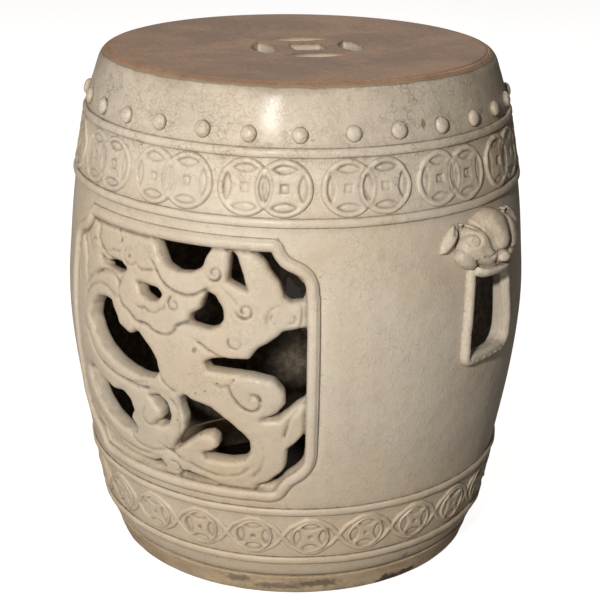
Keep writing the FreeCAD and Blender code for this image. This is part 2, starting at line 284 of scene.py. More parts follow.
def clay_skin(field, lines, wrap=False):
    """Corners and four-sided faces of the skin where a field on a grid of lines changes sign."""
    if wrap:
        field = np.concatenate([field, field[:1]])
        lines = (np.append(lines[0], lines[0][0] + 2 * math.pi), *lines[1:])
    solid = field < 0
    cells = tuple(n - 1 for n in field.shape)
    steps = [(i, j, k) for i in (0, 1) for j in (0, 1) for k in (0, 1)]
    count = np.zeros(cells, np.int8)
    for i, j, k in steps:
        count += solid[i:cells[0] + i, j:cells[1] + j, k:cells[2] + k]
    where = np.nonzero((count > 0) & (count < 8))
    index = np.full(cells, -1, np.int32)
    index[where] = np.arange(len(where[0]))
    value = {}
    place = {}
    for step in steps:
        at = tuple(w + s for w, s in zip(where, step))
        value[step] = field[at]
        place[step] = np.stack([line[a] for line, a in zip(lines, at)], -1)
    total = np.zeros((len(where[0]), 3))
    hits = np.zeros(len(where[0]))
    for p in steps:
        for axis in range(3):
            if p[axis]:
                continue
            q = tuple(1 if n == axis else s for n, s in enumerate(p))
            crosses = (value[p] < 0) != (value[q] < 0)
            share = np.where(crosses, value[p] / np.where(crosses, value[p] - value[q], 1), 0)
            total += crosses[:, None] * (place[p] + share[:, None] * (place[q] - place[p]))
            hits += crosses
    corners = total / hits[:, None]
    faces = []
    for axis in range(3):
        others = [n for n in range(3) if n != axis]
        at = np.argwhere(np.diff(solid, axis=axis))
        for other in others:
            if wrap and other == 0:
                at = at[at[:, 0] < cells[0]]
            else:
                at = at[(at[:, other] >= 1) & (at[:, other] < cells[other])]
        ring = []
        for du, dv in ((-1, -1), (0, -1), (0, 0), (-1, 0)):
            cell = at.copy()
            cell[:, others[0]] += du
            cell[:, others[1]] += dv
            if wrap:
                cell[:, 0] %= cells[0]
            ring.append(index[tuple(cell.T)])
        quads = np.stack(ring, -1)
        outward = solid[tuple(at.T)] ^ (axis == 1)
        quads[~outward] = quads[~outward][:, ::-1]
        faces.append(quads)
    return corners, np.concatenate(faces)


def make_piece(name, nodes, slot, corners, faces, grime_and_shade, pale=None):
    """A finished piece from its corners in millimetres, which stands for its nodes."""
    mesh = bpy.data.meshes.new(name)
    mesh.vertices.add(len(corners))
    mesh.vertices.foreach_set("co", (corners * MM).astype(np.float32).ravel())
    mesh.loops.add(faces.size)
    mesh.loops.foreach_set("vertex_index", faces.astype(np.int32).ravel())
    mesh.polygons.add(len(faces))
    mesh.polygons.foreach_set("loop_start", np.arange(0, faces.size, 4, dtype=np.int32))
    mesh.polygons.foreach_set("use_smooth", np.ones(len(faces), bool))
    mesh.update(calc_edges=True)
    mesh.validate()
    # The grime values are grime and painted shade: they darken creases, hollows, inner faces and undersides,
    # and the materials read them
    for label, values in (("grime_and_shade", grime_and_shade), ("pale", pale)):
        if values is not None:
            layer = mesh.attributes.new(label, "FLOAT", "POINT")
            layer.data.foreach_set("value", np.clip(values, 0, 1).astype(np.float32))
    piece = bpy.data.objects.new(name, mesh)
    bpy.context.scene.collection.objects.link(piece)
    mesh.materials.append(FINISHES[slot])
    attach(piece, "root")
    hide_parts(*nodes)


def sample(grid, across, up, corners):
    """Values of a drawn grid at corners, read between its lines."""
    i = np.clip(np.searchsorted(across, corners[:, 0]) - 1, 0, len(across) - 2)
    j = np.clip(np.searchsorted(up, corners[:, 1]) - 1, 0, len(up) - 2)
    u = np.clip((corners[:, 0] - across[i]) / (across[i + 1] - across[i]), 0, 1)
    v = np.clip((corners[:, 1] - up[j]) / (up[j + 1] - up[j]), 0, 1)
    return ((1 - u) * (1 - v) * grid[i, j] + u * (1 - v) * grid[i + 1, j]
            + (1 - u) * v * grid[i, j + 1] + u * v * grid[i + 1, j + 1])


def even_out(corners, faces, share):
    """Draws each corner towards the middle of its neighbours, by its share, three times."""
    a = faces.ravel()
    b = np.roll(faces, -1, 1).ravel()
    total = len(corners)
    count = np.bincount(a, minlength=total) + np.bincount(b, minlength=total)
    for _ in range(3):
        middle = np.empty_like(corners)
        for axis in range(3):
            values = corners[:, axis]
            middle[:, axis] = np.bincount(a, values[b], total) + np.bincount(b, values[a], total)
        corners = corners + share[:, None] * (middle / count[:, None] - corners)
    return corners


def relief_piece(name, node, slot, grid, height, outline, grime_and_shade, turn, level, back=SPRIG_BACK,
                 layers=SPRIG_LAYERS, soft=1.0):
    """A piece of clay on the wall about a turn and a level, from its height over a drawn outline."""
    field = blend_max(np.maximum(layers - height[..., None], back - layers), outline[..., None], soft)
    corners, faces = clay_skin(field, (*grid, layers))
    out = corners[:, 2]
    corners = even_out(corners, faces, 0.6 * ease(-out, 0.6, 2.4))
    out = corners[:, 2]
    # Grime from the drawn grid, fading out deeper down, and painted shade that darkens faces deeper than 3
    # mm: the sides of the piercings and the back
    grime_and_depth_shade = np.maximum(sample(grime_and_shade, *grid, corners) * ease(out, -5.0, -0.6), 0.4 * ease(-out, 3.0, 13.0))
    skin = on_wall(turn + corners[:, 0] / radius_at(level), level + corners[:, 1], out)
    make_piece(name, [node], slot, skin, faces, grime_and_depth_shade)


# Finishes

class Wire:
    """A shader value, on which arithmetic places math nodes."""

    def __init__(self, bench, socket):
        self.bench = bench
        self.socket = socket

    def __add__(self, other):
        return self.bench.math("ADD", self, other)

    def __sub__(self, other):
        return self.bench.math("SUBTRACT", self, other)

    def __rsub__(self, other):
        return self.bench.math("SUBTRACT", other, self)

    def __mul__(self, other):
        return self.bench.math("MULTIPLY", self, other)

    __radd__ = __add__


class Bench:
    """Short forms for placing and joining shader nodes in one tree."""

    def __init__(self, tree):
        self.tree = tree

    def put(self, socket, value):
        if isinstance(value, Wire):
            self.tree.links.new(value.socket, socket)
        else:
            socket.default_value = value

    def node(self, kind, inputs=None, **settings):
        """A node with its settings, and its inputs by name or number."""
        node = self.tree.nodes.new("ShaderNode" + kind)
        for key, value in settings.items():
            setattr(node, key, value)
        for key, value in (inputs or {}).items():
            self.put(node.inputs[key], value)
        return node

    def value(self, output, kind, inputs=None, **settings):
        """One output of a new node."""
        return Wire(self, self.node(kind, inputs, **settings).outputs[output])

    def math(self, operation, *values):
        return self.value(0, "Math", dict(enumerate(values)), operation=operation)

    def vector(self, operation, *values, output=0, **inputs):
        return self.value(output, "VectorMath", {**dict(enumerate(values)), **inputs}, operation=operation)

    def parts(self, place):
        node = self.node("SeparateXYZ", {0: place})
        return [Wire(self, output) for output in node.outputs]

    def noise(self, place, scale, detail=4.0, rough=0.6, warp=0.0, output="Fac"):
        return self.value(output, "TexNoise", {"Vector": place, "Scale": scale, "Detail": detail,
                                               "Roughness": rough, "Distortion": warp})

    def cells(self, place, scale, feature):
        return self.value("Distance", "TexVoronoi", {"Vector": place, "Scale": scale}, feature=feature)

    def step(self, value, low, high):
        return self.value("Result", "MapRange", {"Value": value, "From Min": low, "From Max": high},
                          interpolation_type="SMOOTHSTEP")

    def mesh_value(self, label):
        return self.value("Fac", "Attribute", attribute_name=label)

    def paint(self, colour, *coats):
        """A colour under coats of (share, tone)."""
        for share, tone in coats:
            colour = self.value(2, "Mix", {0: share, 6: colour, 7: tone}, data_type="RGBA")
        return colour

    def bump(self, height, strength):
        return self.value("Normal", "Bump", {"Strength": strength, "Distance": 0.001, "Height": height})

    def group(self, tree, **inputs):
        """The outputs of a shader group by name."""
        node = self.node("Group", inputs, node_tree=tree)
        return {output.name: Wire(self, output) for output in node.outputs}

    def finish(self, **inputs):
        """Sets the surface's own inputs, with a low line for each space in their names."""
        shader = self.tree.nodes["Principled BSDF"]
        for key, value in inputs.items():
            self.put(shader.inputs[key.replace("_", " ")], value)


def new_group(name, draw, *labels):
    """A shader group that draws float outputs, by name, from a place and from float inputs."""
    group = bpy.data.node_groups.new(name, "ShaderNodeTree")
    group.interface.new_socket("Place", in_out="INPUT", socket_type="NodeSocketVector")
    for label in labels:
        group.interface.new_socket(label, in_out="INPUT", socket_type="NodeSocketFloat")
    b = Bench(group)
    given = group.nodes.new("NodeGroupInput")
    made = draw(b, *(Wire(b, given.outputs[label]) for label in ("Place", *labels)))
    for label in made:
        group.interface.new_socket(label, in_out="OUTPUT", socket_type="NodeSocketFloat")
    result = group.nodes.new("NodeGroupOutput")
    for label, wire in made.items():
        b.put(result.inputs[label], wire)
    return group


def crackle_lines(b, place, reach):
    """Fine broken dark lines of an old glaze."""
    bend = b.noise(place, 90.0, 4.0, 0.5, output="Color")
    moved = b.vector("ADD", place, b.vector("SCALE", bend, Scale=0.010))
    broken = b.step(b.noise(place, 150.0, 3.0), 0.40, 0.58)
    lines = []
    for finer, width in ((1.0, CRACK_WIDTH), (1.8, 1.4 * CRACK_WIDTH)):
        line = 1 - b.step(b.cells(moved, CRACK_CELLS * finer, "DISTANCE_TO_EDGE"), 0.0, width)
        part = b.step(b.noise(place, 30.0 * finer, 4.0, 0.65), 0.84 - reach, 0.68)
        lines.append(line * part * (0.35 + broken * 0.65))
    return {"Lines": b.math("MAXIMUM", lines[0], lines[1] * 0.85)}


def ageing(b, place, hollow):
    """Broad stains, pinholes, running streaks and dirt of an old fired surface, with grime and painted shade
    in its hollows.
    """
    tall = b.vector("MULTIPLY", place, (1.0, 1.0, 0.16))
    dot = 1 - b.step(b.cells(place, 85.0, "F1"), 0.04, 0.11)
    fleck = b.step(b.noise(place, 520.0, 3.0, 0.7), 0.60, 0.72)
    patch = b.step(b.noise(place, 120.0, 4.0, 0.7), 0.25, 0.62)
    return {
        "Stain": b.step(b.noise(place, 7.0, 5.0, 0.62, 0.4), 0.40, 0.72),
        "Spots": dot * b.step(b.noise(place, 16.0, 2.0), 0.56, 0.66),
        # Grime and painted shade in the hollows, broken into patches
        "Grime_and_shade": hollow * (0.45 + patch * 0.55),
        "Cloud": b.noise(place, 26.0),
        "Streaks": b.step(b.noise(tall, 30.0), 0.48, 0.78),
        "Specks": fleck * b.step(b.noise(place, 21.0, 3.0), 0.44, 0.66),
        "Dirt": b.step(b.noise(place, 64.0, 6.0, 0.72, 0.5), 0.47, 0.74),
    }


def seat_wear(b, place):
    """Rubbed cloudiness of the seat."""
    flat = b.vector("MULTIPLY", place, (1.0, 1.0, 4.0))
    return {"Rub": b.noise(flat, 13.0, 6.0, 0.62, 0.3), "Fine": b.noise(place, 260.0, 5.0, 0.72)}


CRACK_CELLS = 165.0
CRACK_WIDTH = 0.085
CRACKLE = new_group("glaze_crackle", crackle_lines, "Reach")
AGE = new_group("age_stains", ageing, "Hollow")
WEAR = new_group("seat_wear", seat_wear)

CREAM = (0.640, 0.566, 0.462, 1)
CREAM_ON_CARVING = (0.600, 0.528, 0.425, 1)
CREAM_WARM = (0.580, 0.452, 0.300, 1)
CREAM_GREY = (0.420, 0.370, 0.300, 1)
DIRT_GREY = (0.300, 0.245, 0.185, 1)
GRIME_AND_SHADE_BROWN = (0.100, 0.072, 0.048, 1)
LINE_BROWN = (0.170, 0.125, 0.085, 1)
SPOT_BROWN = (0.240, 0.140, 0.060, 1)
SEAT_BROWN = (0.440, 0.262, 0.160, 1)
SEAT_GREY = (0.300, 0.185, 0.116, 1)
RIM_BROWN = (0.330, 0.185, 0.098, 1)
BISQUE = (0.450, 0.340, 0.225, 1)

# Single stains: (turn in degrees, height, radius, stretch, tone, strength)
WALL_MARKS = ((64.2, 416.0, 2.4, 3.6, SPOT_BROWN, 0.9), (66.0, 27.0, 5.0, 0.7, GRIME_AND_SHADE_BROWN, 0.5))
CARVING_MARKS = ((8.5, 238.3, 4.2, 0.8, SPOT_BROWN, 0.75), (-10.2, 303.0, 3.2, 0.8, SPOT_BROWN, 0.8))
FOOT_MARKS = ((62.5, 4.0, 17.0, 0.42, GRIME_AND_SHADE_BROWN, 1.0), (68.5, 5.0, 12.0, 0.4, GRIME_AND_SHADE_BROWN, 1.0),
              (40.0, 12.0, 22.0, 0.25, GRIME_AND_SHADE_BROWN, 0.7), (26.0, 9.0, 20.0, 0.25, GRIME_AND_SHADE_BROWN, 0.6),
              (15.0, 14.0, 18.0, 0.3, GRIME_AND_SHADE_BROWN, 0.6))


def new_material(name):
    """A material, its bench and the place on the piece."""
    material = bpy.data.materials.new(name)
    material.use_nodes = True
    b = Bench(material.node_tree)
    return material, b, b.value("Object", "TexCoord")


def seat_tone(b, place, wear):
    """Colour of the worn matt top."""
    x, y, _ = b.parts(place)
    edge = b.step(b.math("SQRT", x * x + y * y) + wear["Rub"] * 0.10, 0.13, 0.25)
    return b.paint(SEAT_GREY, (b.step(wear["Rub"], 0.38, 0.62), SEAT_BROWN),
                   (b.step(wear["Fine"], 0.46, 0.68) * 0.5, LINE_BROWN), (edge * 0.22, RIM_BROWN))


def old_marks(b, place, colour, marks):
    """Adds single stains to a colour."""
    rough = b.noise(place, 220.0, 3.0)
    for turn, height, size, stretch, tone, strength in marks:
        centre = on_wall(math.radians(turn), height, 0.0) * MM
        away = b.vector("MULTIPLY", b.vector("SUBTRACT", place, centre), (1.0, 1.0, 1.0 / stretch))
        reach = b.vector("LENGTH", away, output="Value") + (rough - 0.5) * (1.6 * size * MM)
        colour = b.paint(colour, ((1 - b.step(reach, 0.45 * size * MM, size * MM)) * strength, tone))
    return colour


def band_lines(b, height):
    """Lines of grime and painted shade on the wall along both edges of each bead and over the foot."""
    reach = BEAD_HALF + 0.2
    edges = [(level + way, 1.0, 1.0) for level in BEAD_LEVELS.values() for way in (-reach, reach)]
    total = 0.0
    for level, width, strength in edges + [(FOOT_TOP - 1.0, 2.4, 0.4)]:
        away = b.math("ABSOLUTE", height - level * MM)
        # Painted shade: a soft dark fall-off on the wall beside each bead edge
        soft = (1 - b.step(away, 0.0, 6.5 * MM)) * 0.26
        line = b.math("MAXIMUM", 1 - b.step(away, 0.2 * MM, width * MM), soft)
        total = b.math("MAXIMUM", total, line * strength)
    return total * 0.75


def glaze(name, tone=CREAM, crackle=0.5, gloss=0.34, spots=0.7, marks=(), wall=False):
    """Cream crackle glaze with its stains, and the grime and painted shade in its creases, worn matt at the
    wall's top.
    """
    material, b, place = new_material(name)
    height = b.parts(place)[2]
    hollow = b.mesh_value("grime_and_shade")
    if wall:
        hollow = b.math("MAXIMUM", hollow, band_lines(b, height))
    age = b.group(AGE, Place=place, Hollow=hollow)
    high = b.step(height, 0.33, 0.42)
    low = 1 - b.step(height, 0.01, 0.20)
    lines = b.group(CRACKLE, Place=place, Reach=crackle)["Lines"] * (0.34 + high * 0.66)
    colour = b.paint(tone, (age["Stain"] * 0.60, CREAM_WARM), (low * 0.36, CREAM_WARM),
                     (age["Streaks"] * (0.16 + low * 0.56), CREAM_WARM),
                     (b.step(age["Cloud"], 0.5, 0.8) * 0.30, CREAM_GREY),
                     (age["Dirt"] * (0.14 + high * 0.34), DIRT_GREY),
                     (age["Specks"] * (0.16 + high * 0.30), LINE_BROWN),
                     (lines * 0.80, LINE_BROWN), (age["Spots"] * spots, SPOT_BROWN))
    if marks:
        colour = old_marks(b, place, colour, marks)
    rough = gloss + age["Cloud"] * 0.24 + age["Dirt"] * 0.2
    if wall:
        wavy = height + b.noise(place, 60.0, 3.0) * 0.0030
        matt = b.step(wavy, 0.4478, 0.4490)
        rim = b.step(wavy, 0.4464, 0.4480) * (1 - matt)
        soiled = b.step(wavy, 0.428, 0.448) * b.step(age["Cloud"], 0.42, 0.62)
        colour = b.paint(colour, (b.step(wavy, 0.385, 0.420) * 0.22, CREAM_GREY), (soiled * 0.4, DIRT_GREY),
                         (rim * 0.75, LINE_BROWN), (matt, seat_tone(b, place, b.group(WEAR, Place=place))))
        rough = rough + matt * 0.35
    swell = b.noise(place, 420.0, 3.0) * 0.6 + b.noise(place, 75.0, 5.0) * 1.8
    # Grime and painted shade darken the creases, hollows and inner faces brown
    b.finish(Base_Color=b.paint(colour, (age["Grime_and_shade"] * 0.85, GRIME_AND_SHADE_BROWN)),
             Roughness=rough + age["Grime_and_shade"] * 0.35, IOR=1.5, Specular_IOR_Level=0.38,
             Coat_Weight=0.10, Coat_Roughness=0.2, Normal=b.bump(swell - lines * 0.4, 0.5))
    return material


def matt_clay(name, foot):
    """Worn matt glaze of the seat, or the foot's bare clay."""
    material, b, place = new_material(name)
    age = b.group(AGE, Place=place, Hollow=b.mesh_value("grime_and_shade"))
    wear = b.group(WEAR, Place=place)
    if foot:
        colour = b.paint(BISQUE, (b.step(wear["Rub"], 0.35, 0.7), CREAM_WARM),
                         (b.step(wear["Fine"], 0.48, 0.7) * 0.4, LINE_BROWN), (age["Dirt"] * 0.35, DIRT_GREY))
        colour = old_marks(b, place, colour, FOOT_MARKS)
    else:
        colour = b.paint(seat_tone(b, place, wear), (b.mesh_value("pale"), CREAM))
    # Grime and painted shade darken the creases, the underside and the inner faces brown
    b.finish(Base_Color=b.paint(colour, (age["Grime_and_shade"] * 0.8, GRIME_AND_SHADE_BROWN)),
             Roughness=0.58 + wear["Fine"] * 0.3, Specular_IOR_Level=0.38,
             Normal=b.bump(wear["Fine"] + b.noise(place, 60.0, 3.0, 0.5), 0.6))
    return material


# Barrel wall, foot and seat

def fine_near(base, edges, reach, step):
    """Grid lines with closer ones near some edges."""
    extra = [np.arange(e - reach, e + reach + step / 2, step) for e in edges]
    keep = [-math.inf]
    for line in np.sort(np.concatenate([base] + extra)):
        if line - keep[-1] > step * 0.6:
            keep.append(line)
    return np.array(keep[1:])


def barrel_wall():
    """The glazed wall with two windows, two hand openings and its rounded rim."""
    hand = math.radians(HANDLE_TURNS["right"])
    spread = OPENING_HALF / BELLY
    edges = [hand + side * spread + half for half in (-math.pi, 0) for side in (-1, 1)]
    turns = fine_near(all_round(2.5), edges, 0.022, 0.0055)
    turns = turns[turns < math.pi - 0.003]
    start = length_at(FOOT_TOP)
    stop = PROFILE_LENGTH[-1]
    along = fine_near(np.arange(start - 3, stop + 4, 6.0), length_at([OPENING_LOW, OPENING_HIGH]), 3.6, 1.2)
    along = fine_near(along, [stop - 6], 9.0, 1.5)
    layers = np.array([-14.0, -10.5, -7.0, -2.6, -1.2, 1.2, 3.0])
    turn, length = np.meshgrid(turns, along, indexing="ij")
    height = profile_at(length)[1]
    grips = np.full(turn.shape, -99.0)
    holes = np.full(turn.shape, -99.0)
    for facing in (0, math.pi):
        x = wrapped(turn - hand - facing) * BELLY
        near = np.abs(x) < 60
        corner = np.where(x[near] > 0, OPENING_CORNERS[1], OPENING_CORNERS[0])
        top = OPENING_HIGH + OPENING_LIFT
        grips[near] = -rounded_box(x[near], height[near], OPENING_HALF, OPENING_LOW, top, corner)
        x = wrapped(turn - facing) * BELLY
        near = np.abs(x) < 170
        holes[near] = np.maximum(holes[near], -loop_field(x[near], height[near], WINDOW_LINE) - WINDOW_LAP)
    uneven = 0.35 * bumps(turn * BELLY, length, 90.0, 3) - 0.35
    surface = layers - (uneven * (1 - ease(length, stop - 30, stop)))[..., None]
    field = np.maximum(surface, -WALL - layers)
    field = blend_max(field, np.maximum(start - length, length - stop)[..., None], 0.6)
    field = blend_max(field, holes[..., None], 1.6)
    field = blend_max(field, grips[..., None] - 0.36 * layers, 2.0)
    corners, faces = clay_skin(field, (turns, along, layers), wrap=True)
    # Painted shade: the wall's inner face is darkened
    grime_and_shade = ease(-corners[:, 2], 10.2, 12.0)
    make_piece("glazed_barrel_wall", ["barrel_wall"], "barrel_glaze", on_profile(*corners.T), faces, grime_and_shade)


def foot_ring():
    """The turned-in foot, rough where it stands."""
    turns = all_round(2.0)
    levels = np.concatenate([np.arange(-1.5, 5, 1.2), np.arange(6, 19, 3.2), [19.4, 21]])
    radii = np.concatenate([np.arange(139, 147, 1.5), np.arange(150, 160, 4.0), np.arange(161.5, 175, 1.4)])
    turn, level, radius = np.meshgrid(turns, levels, radii, indexing="ij")
    outer = radius - radius_at(level) + 0.3 + 0.35 * bumps(turn * FOOT_RADIUS, level * 3, 26.0, 8)
    field = blend_max(outer, FOOT_HOLE - radius, 2.0)
    field = blend_max(field, -level, 3.0)
    field = np.maximum(field, level - FOOT_TOP + 0.1)
    corners, faces = clay_skin(field, (turns, levels, radii), wrap=True)
    turn, level, radius = corners.T
    worn = ease(bumps(turn * FOOT_RADIUS, level * 2, 34.0, 21), 0.1, 0.9)
    # Grime where the foot is worn low down, and painted shade on the foot's inner face
    grime_and_shade = 0.75 * worn * ease(FOOT_TOP - level, 0, 14) + 0.6 * ease(160 - radius, 0, 10)
    make_piece("rough_foot_ring", ["foot_ring"], "foot_clay", around_axis(turn, level, radius), faces, grime_and_shade)


def seat_openings(x, y):
    """Signed distance to the coin's square and four petals, below zero in the openings."""
    a = math.radians(COIN_TURN)
    x, y = x - COIN_OFFSET[0], y - COIN_OFFSET[1]
    u = x * math.cos(a) + y * math.sin(a)
    v = y * math.cos(a) - x * math.sin(a)
    half = COIN_SQUARE / 2
    near = rounded_box(u, v, half, -half, half, 2.0)
    for p, q in ((u, v), (v, u)):
        for reach in (-PETAL_REACH, PETAL_REACH):
            near = np.minimum(near, lens(q + reach, p, PETAL_WIDTH, PETAL_LENGTH))
    return near


def seat_place(turn, ring):
    """Places on the seat, on rings that lie about the coin inside and about the seat's middle outside."""
    shift = 1 - ease(ring, 70, 150)
    return ring * np.sin(turn) + COIN_OFFSET[0] * shift, -ring * np.cos(turn) + COIN_OFFSET[1] * shift


def seat_slab():
    """The worn seat: a slightly dished disc pierced with a coin."""
    turns = all_round(1.2)
    reach = np.concatenate([np.arange(10.0, 68, 1.25), np.arange(70, 150, 8.0), np.arange(152, 167, 1.6)])
    levels = np.array([-15.2, -12.8, -8.0, -3.4, -2.2, -1.0, 0.2, 1.4])
    turn, level, ring = np.meshgrid(turns, levels, reach, indexing="ij")
    x, y = seat_place(turn, ring)
    dish = -SEAT_DISH * (1 - ease(np.hypot(x, y), 60, 160)) - 0.12
    dish = dish + 0.2 * bumps(x, y, 60, 12) * ease(162 - ring, 0, 20)
    field = np.maximum(level - dish, -SEAT_THICK - level)
    field = np.maximum(field, ring - SEAT_RADIUS)
    field = blend_max(field, -seat_openings(x, y), 2.6)
    corners, faces = clay_skin(field, (turns, levels, reach), wrap=True)
    turn, level, ring = corners.T
    skin = np.stack([*seat_place(turn, ring), STOOL_TOP + level], -1)
    pale = ease(-level, 3.2, 5.0) * (ring < 90)
    # Painted shade: the seat's underside and the deep sides of its openings are darkened
    make_piece("worn_seat_slab", ["seat_slab"], "seat_clay", skin, faces, 0.5 * ease(-level, 9, 14), pale)


# Beads and nail heads

def bead(node, level):
    """A half-round moulding with a rubbed crest."""
    angles = np.linspace(-0.25, math.pi + 0.25, 13)
    rises = BEAD_RISE * np.maximum(np.sin(angles), 0) ** 0.8 - 0.6 * (np.sin(angles) < 0)
    section = np.stack([np.append(-BEAD_HALF * np.cos(angles), 0.0), np.append(rises, -1.5)], -1)
    turns = all_round(1.5)
    count = len(section)
    turn = np.repeat(turns, count)
    up, rise = np.tile(section, (len(turns), 1)).T
    seed = int(level)
    wobble = 0.25 * bumps(turn * BEAD_RADIUS, level, 50, seed)
    worn = 1 + 0.12 * bumps(turn * BEAD_RADIUS, 0.0, 23, seed + 1)
    this = np.arange(len(turns))[:, None] * count
    following = np.roll(this, -1, 0)
    k = np.arange(count)
    m = np.roll(k, -1)
    faces = np.stack([this + k, following + k, following + m, this + m], -1).reshape(-1, 4)
    # Grime and painted shade where the bead meets the wall
    grime_and_shade = 0.9 * (1 - ease(rise, 0.1, 1.1))
    skin = on_wall(turn, level + up + wobble, rise * worn)
    make_piece("glazed_" + node, [node], "bead_glaze", skin, faces, grime_and_shade)


def nail_heads():
    """The row of clay nail heads, each pressed on by hand."""
    draw = np.random.default_rng(5)
    ring = np.linspace(0.0, 1.0, 7)[:, None]
    around = np.radians(np.arange(0, 360, 18.0))
    n = len(around)
    heads = []
    for k in range(NAIL_COUNT):
        turn = math.radians(NAIL_PHASE + 360.0 / NAIL_COUNT * k + draw.uniform(-0.5, 0.5))
        level = NAIL_LEVEL + draw.uniform(-0.5, 0.5)
        size = draw.uniform(0.94, 1.05)
        spread = NAIL_RADIUS * size * np.cos(ring * math.pi / 2 * 0.98) ** 0.85
        out = NAIL_RISE * size * np.sin(ring * math.pi / 2) - 0.9 * (ring == 0)
        place = (turn + spread * np.cos(around) / radius_at(level), level + spread * np.sin(around), out)
        heads.append(on_wall(*np.broadcast_arrays(*place)).reshape(-1, 3))
    low = np.arange(len(ring) - 1)[:, None] * n
    j = np.arange(n)
    m = np.roll(j, -1)
    sides = np.stack([low + j, low + m, low + n + m, low + n + j], -1).reshape(-1, 4)
    j = np.arange(n // 2 - 1)
    under = np.stack([n - 1 - j, n - 2 - j, j + 1, j], -1)
    faces = np.concatenate([sides, under[:, ::-1] + low[-1] + n, under])
    faces = np.concatenate([faces + k * len(heads[0]) for k in range(NAIL_COUNT)])
    # Grime and painted shade round the foot of each nail head
    grime_and_shade = np.tile(np.where(ring == 0, 1.0, np.where(ring < 0.2, 0.55, 0.0)).repeat(n), NAIL_COUNT)
    make_piece("clay_nail_heads", ["nail_heads"], "nail_glaze", np.concatenate(heads), faces, grime_and_shade)


# Coin bands

def coin_relief(x, z, radius, scale, square, petal):
    """A coin's height share, how deep its lenses and square are sunk, and the lines of grime in it."""
    r = np.hypot(x, z)
    face = 1 - ease(r, radius - 1.5 * scale, radius + 0.2) ** 1.5
    face = face + 0.30 * bell(r - radius + 2.8 * scale, 1.9 * scale)
    sunk = rounded_box(x, z, square / 2, -square / 2, square / 2, 0.5)
    for p, q, reach, high in ((x, z, 14.2, 22), (z, x, 14.4, 21)):
        for side in (-1, 1):
            sunk = np.minimum(sunk, lens(p + side * reach * scale, q, petal * scale, high * scale))
    hollow = 1 - ease(sunk, -1.3 * scale, 0.2 * scale)
    hollow = hollow - 0.35 * ease(-sunk, 1.4 * scale, 3.2 * scale)
    line = np.maximum(bell(sunk + 0.6 * scale, 0.8 * scale), 0.9 * bell(r - radius - 0.3, 0.8 * scale))
    return face, np.clip(hollow, 0, 1), line


def hollow_of(height, cell, reach, gain):
    """How deep in a crease each point of a relief lies, from 0 to about 1."""
    return np.clip((soften(height, reach / cell) - height) * gain - 0.04, 0, 1)


def coin_pair(k):
    """A sprig of two interlaced coins, the right one over the left."""
    cell = 0.75
    high = PAIR_RADIUS + 2.5
    wide = PAIR_SPREAD / 2 + high
    grid = (np.arange(-wide, wide + cell, cell), np.arange(-high, high + cell, cell))
    x, z = np.meshgrid(*grid, indexing="ij")
    draw = np.random.default_rng(100 + k)
    worn = 0.45 + 0.55 * ease(bumps(x, z, 34, 800 + k), -0.9, 0.7)
    lift, sunk, line = (np.zeros(x.shape) for _ in range(3))
    for side in (-1, 1):
        px = x - side * PAIR_SPREAD / 2 + draw.uniform(-0.5, 0.5) + 0.5 * bumps(x, z, 26, 500 + k)
        pz = z + draw.uniform(-0.5, 0.5) + 0.5 * bumps(z, x, 26, 600 + k)
        face, hole, dark = coin_relief(px, pz, PAIR_RADIUS, 1.0, 7.4, 7.4)
        lift = np.maximum(lift, face)
        sunk = np.maximum(sunk, hole)
        line = np.maximum(line, dark * (1.0 if side > 0 else 0.75))
    height = SPRIG_RISE * lift * (1 - 0.85 * sunk * worn) + 0.28 * bumps(x, z, 14, 200 + k) * lift - 0.45
    height = soften(height - 0.35 * line * worn, 0.5)
    outline = np.hypot(np.abs(x) - PAIR_SPREAD / 2, z) - PAIR_RADIUS - 1.2
    # Grime and painted shade along the coins' lens edges and rims and in the creases
    grime_and_shade = 0.62 * line * worn + 0.5 * hollow_of(height, cell, 1.3, 1.0)
    name = "coin_pair_%02d" % (k + 1)
    turn = math.radians(360.0 / PAIR_COUNT * k)
    relief_piece("pressed_" + name, name, "coin_glaze", grid, height, outline, grime_and_shade, turn, PAIR_LEVEL)


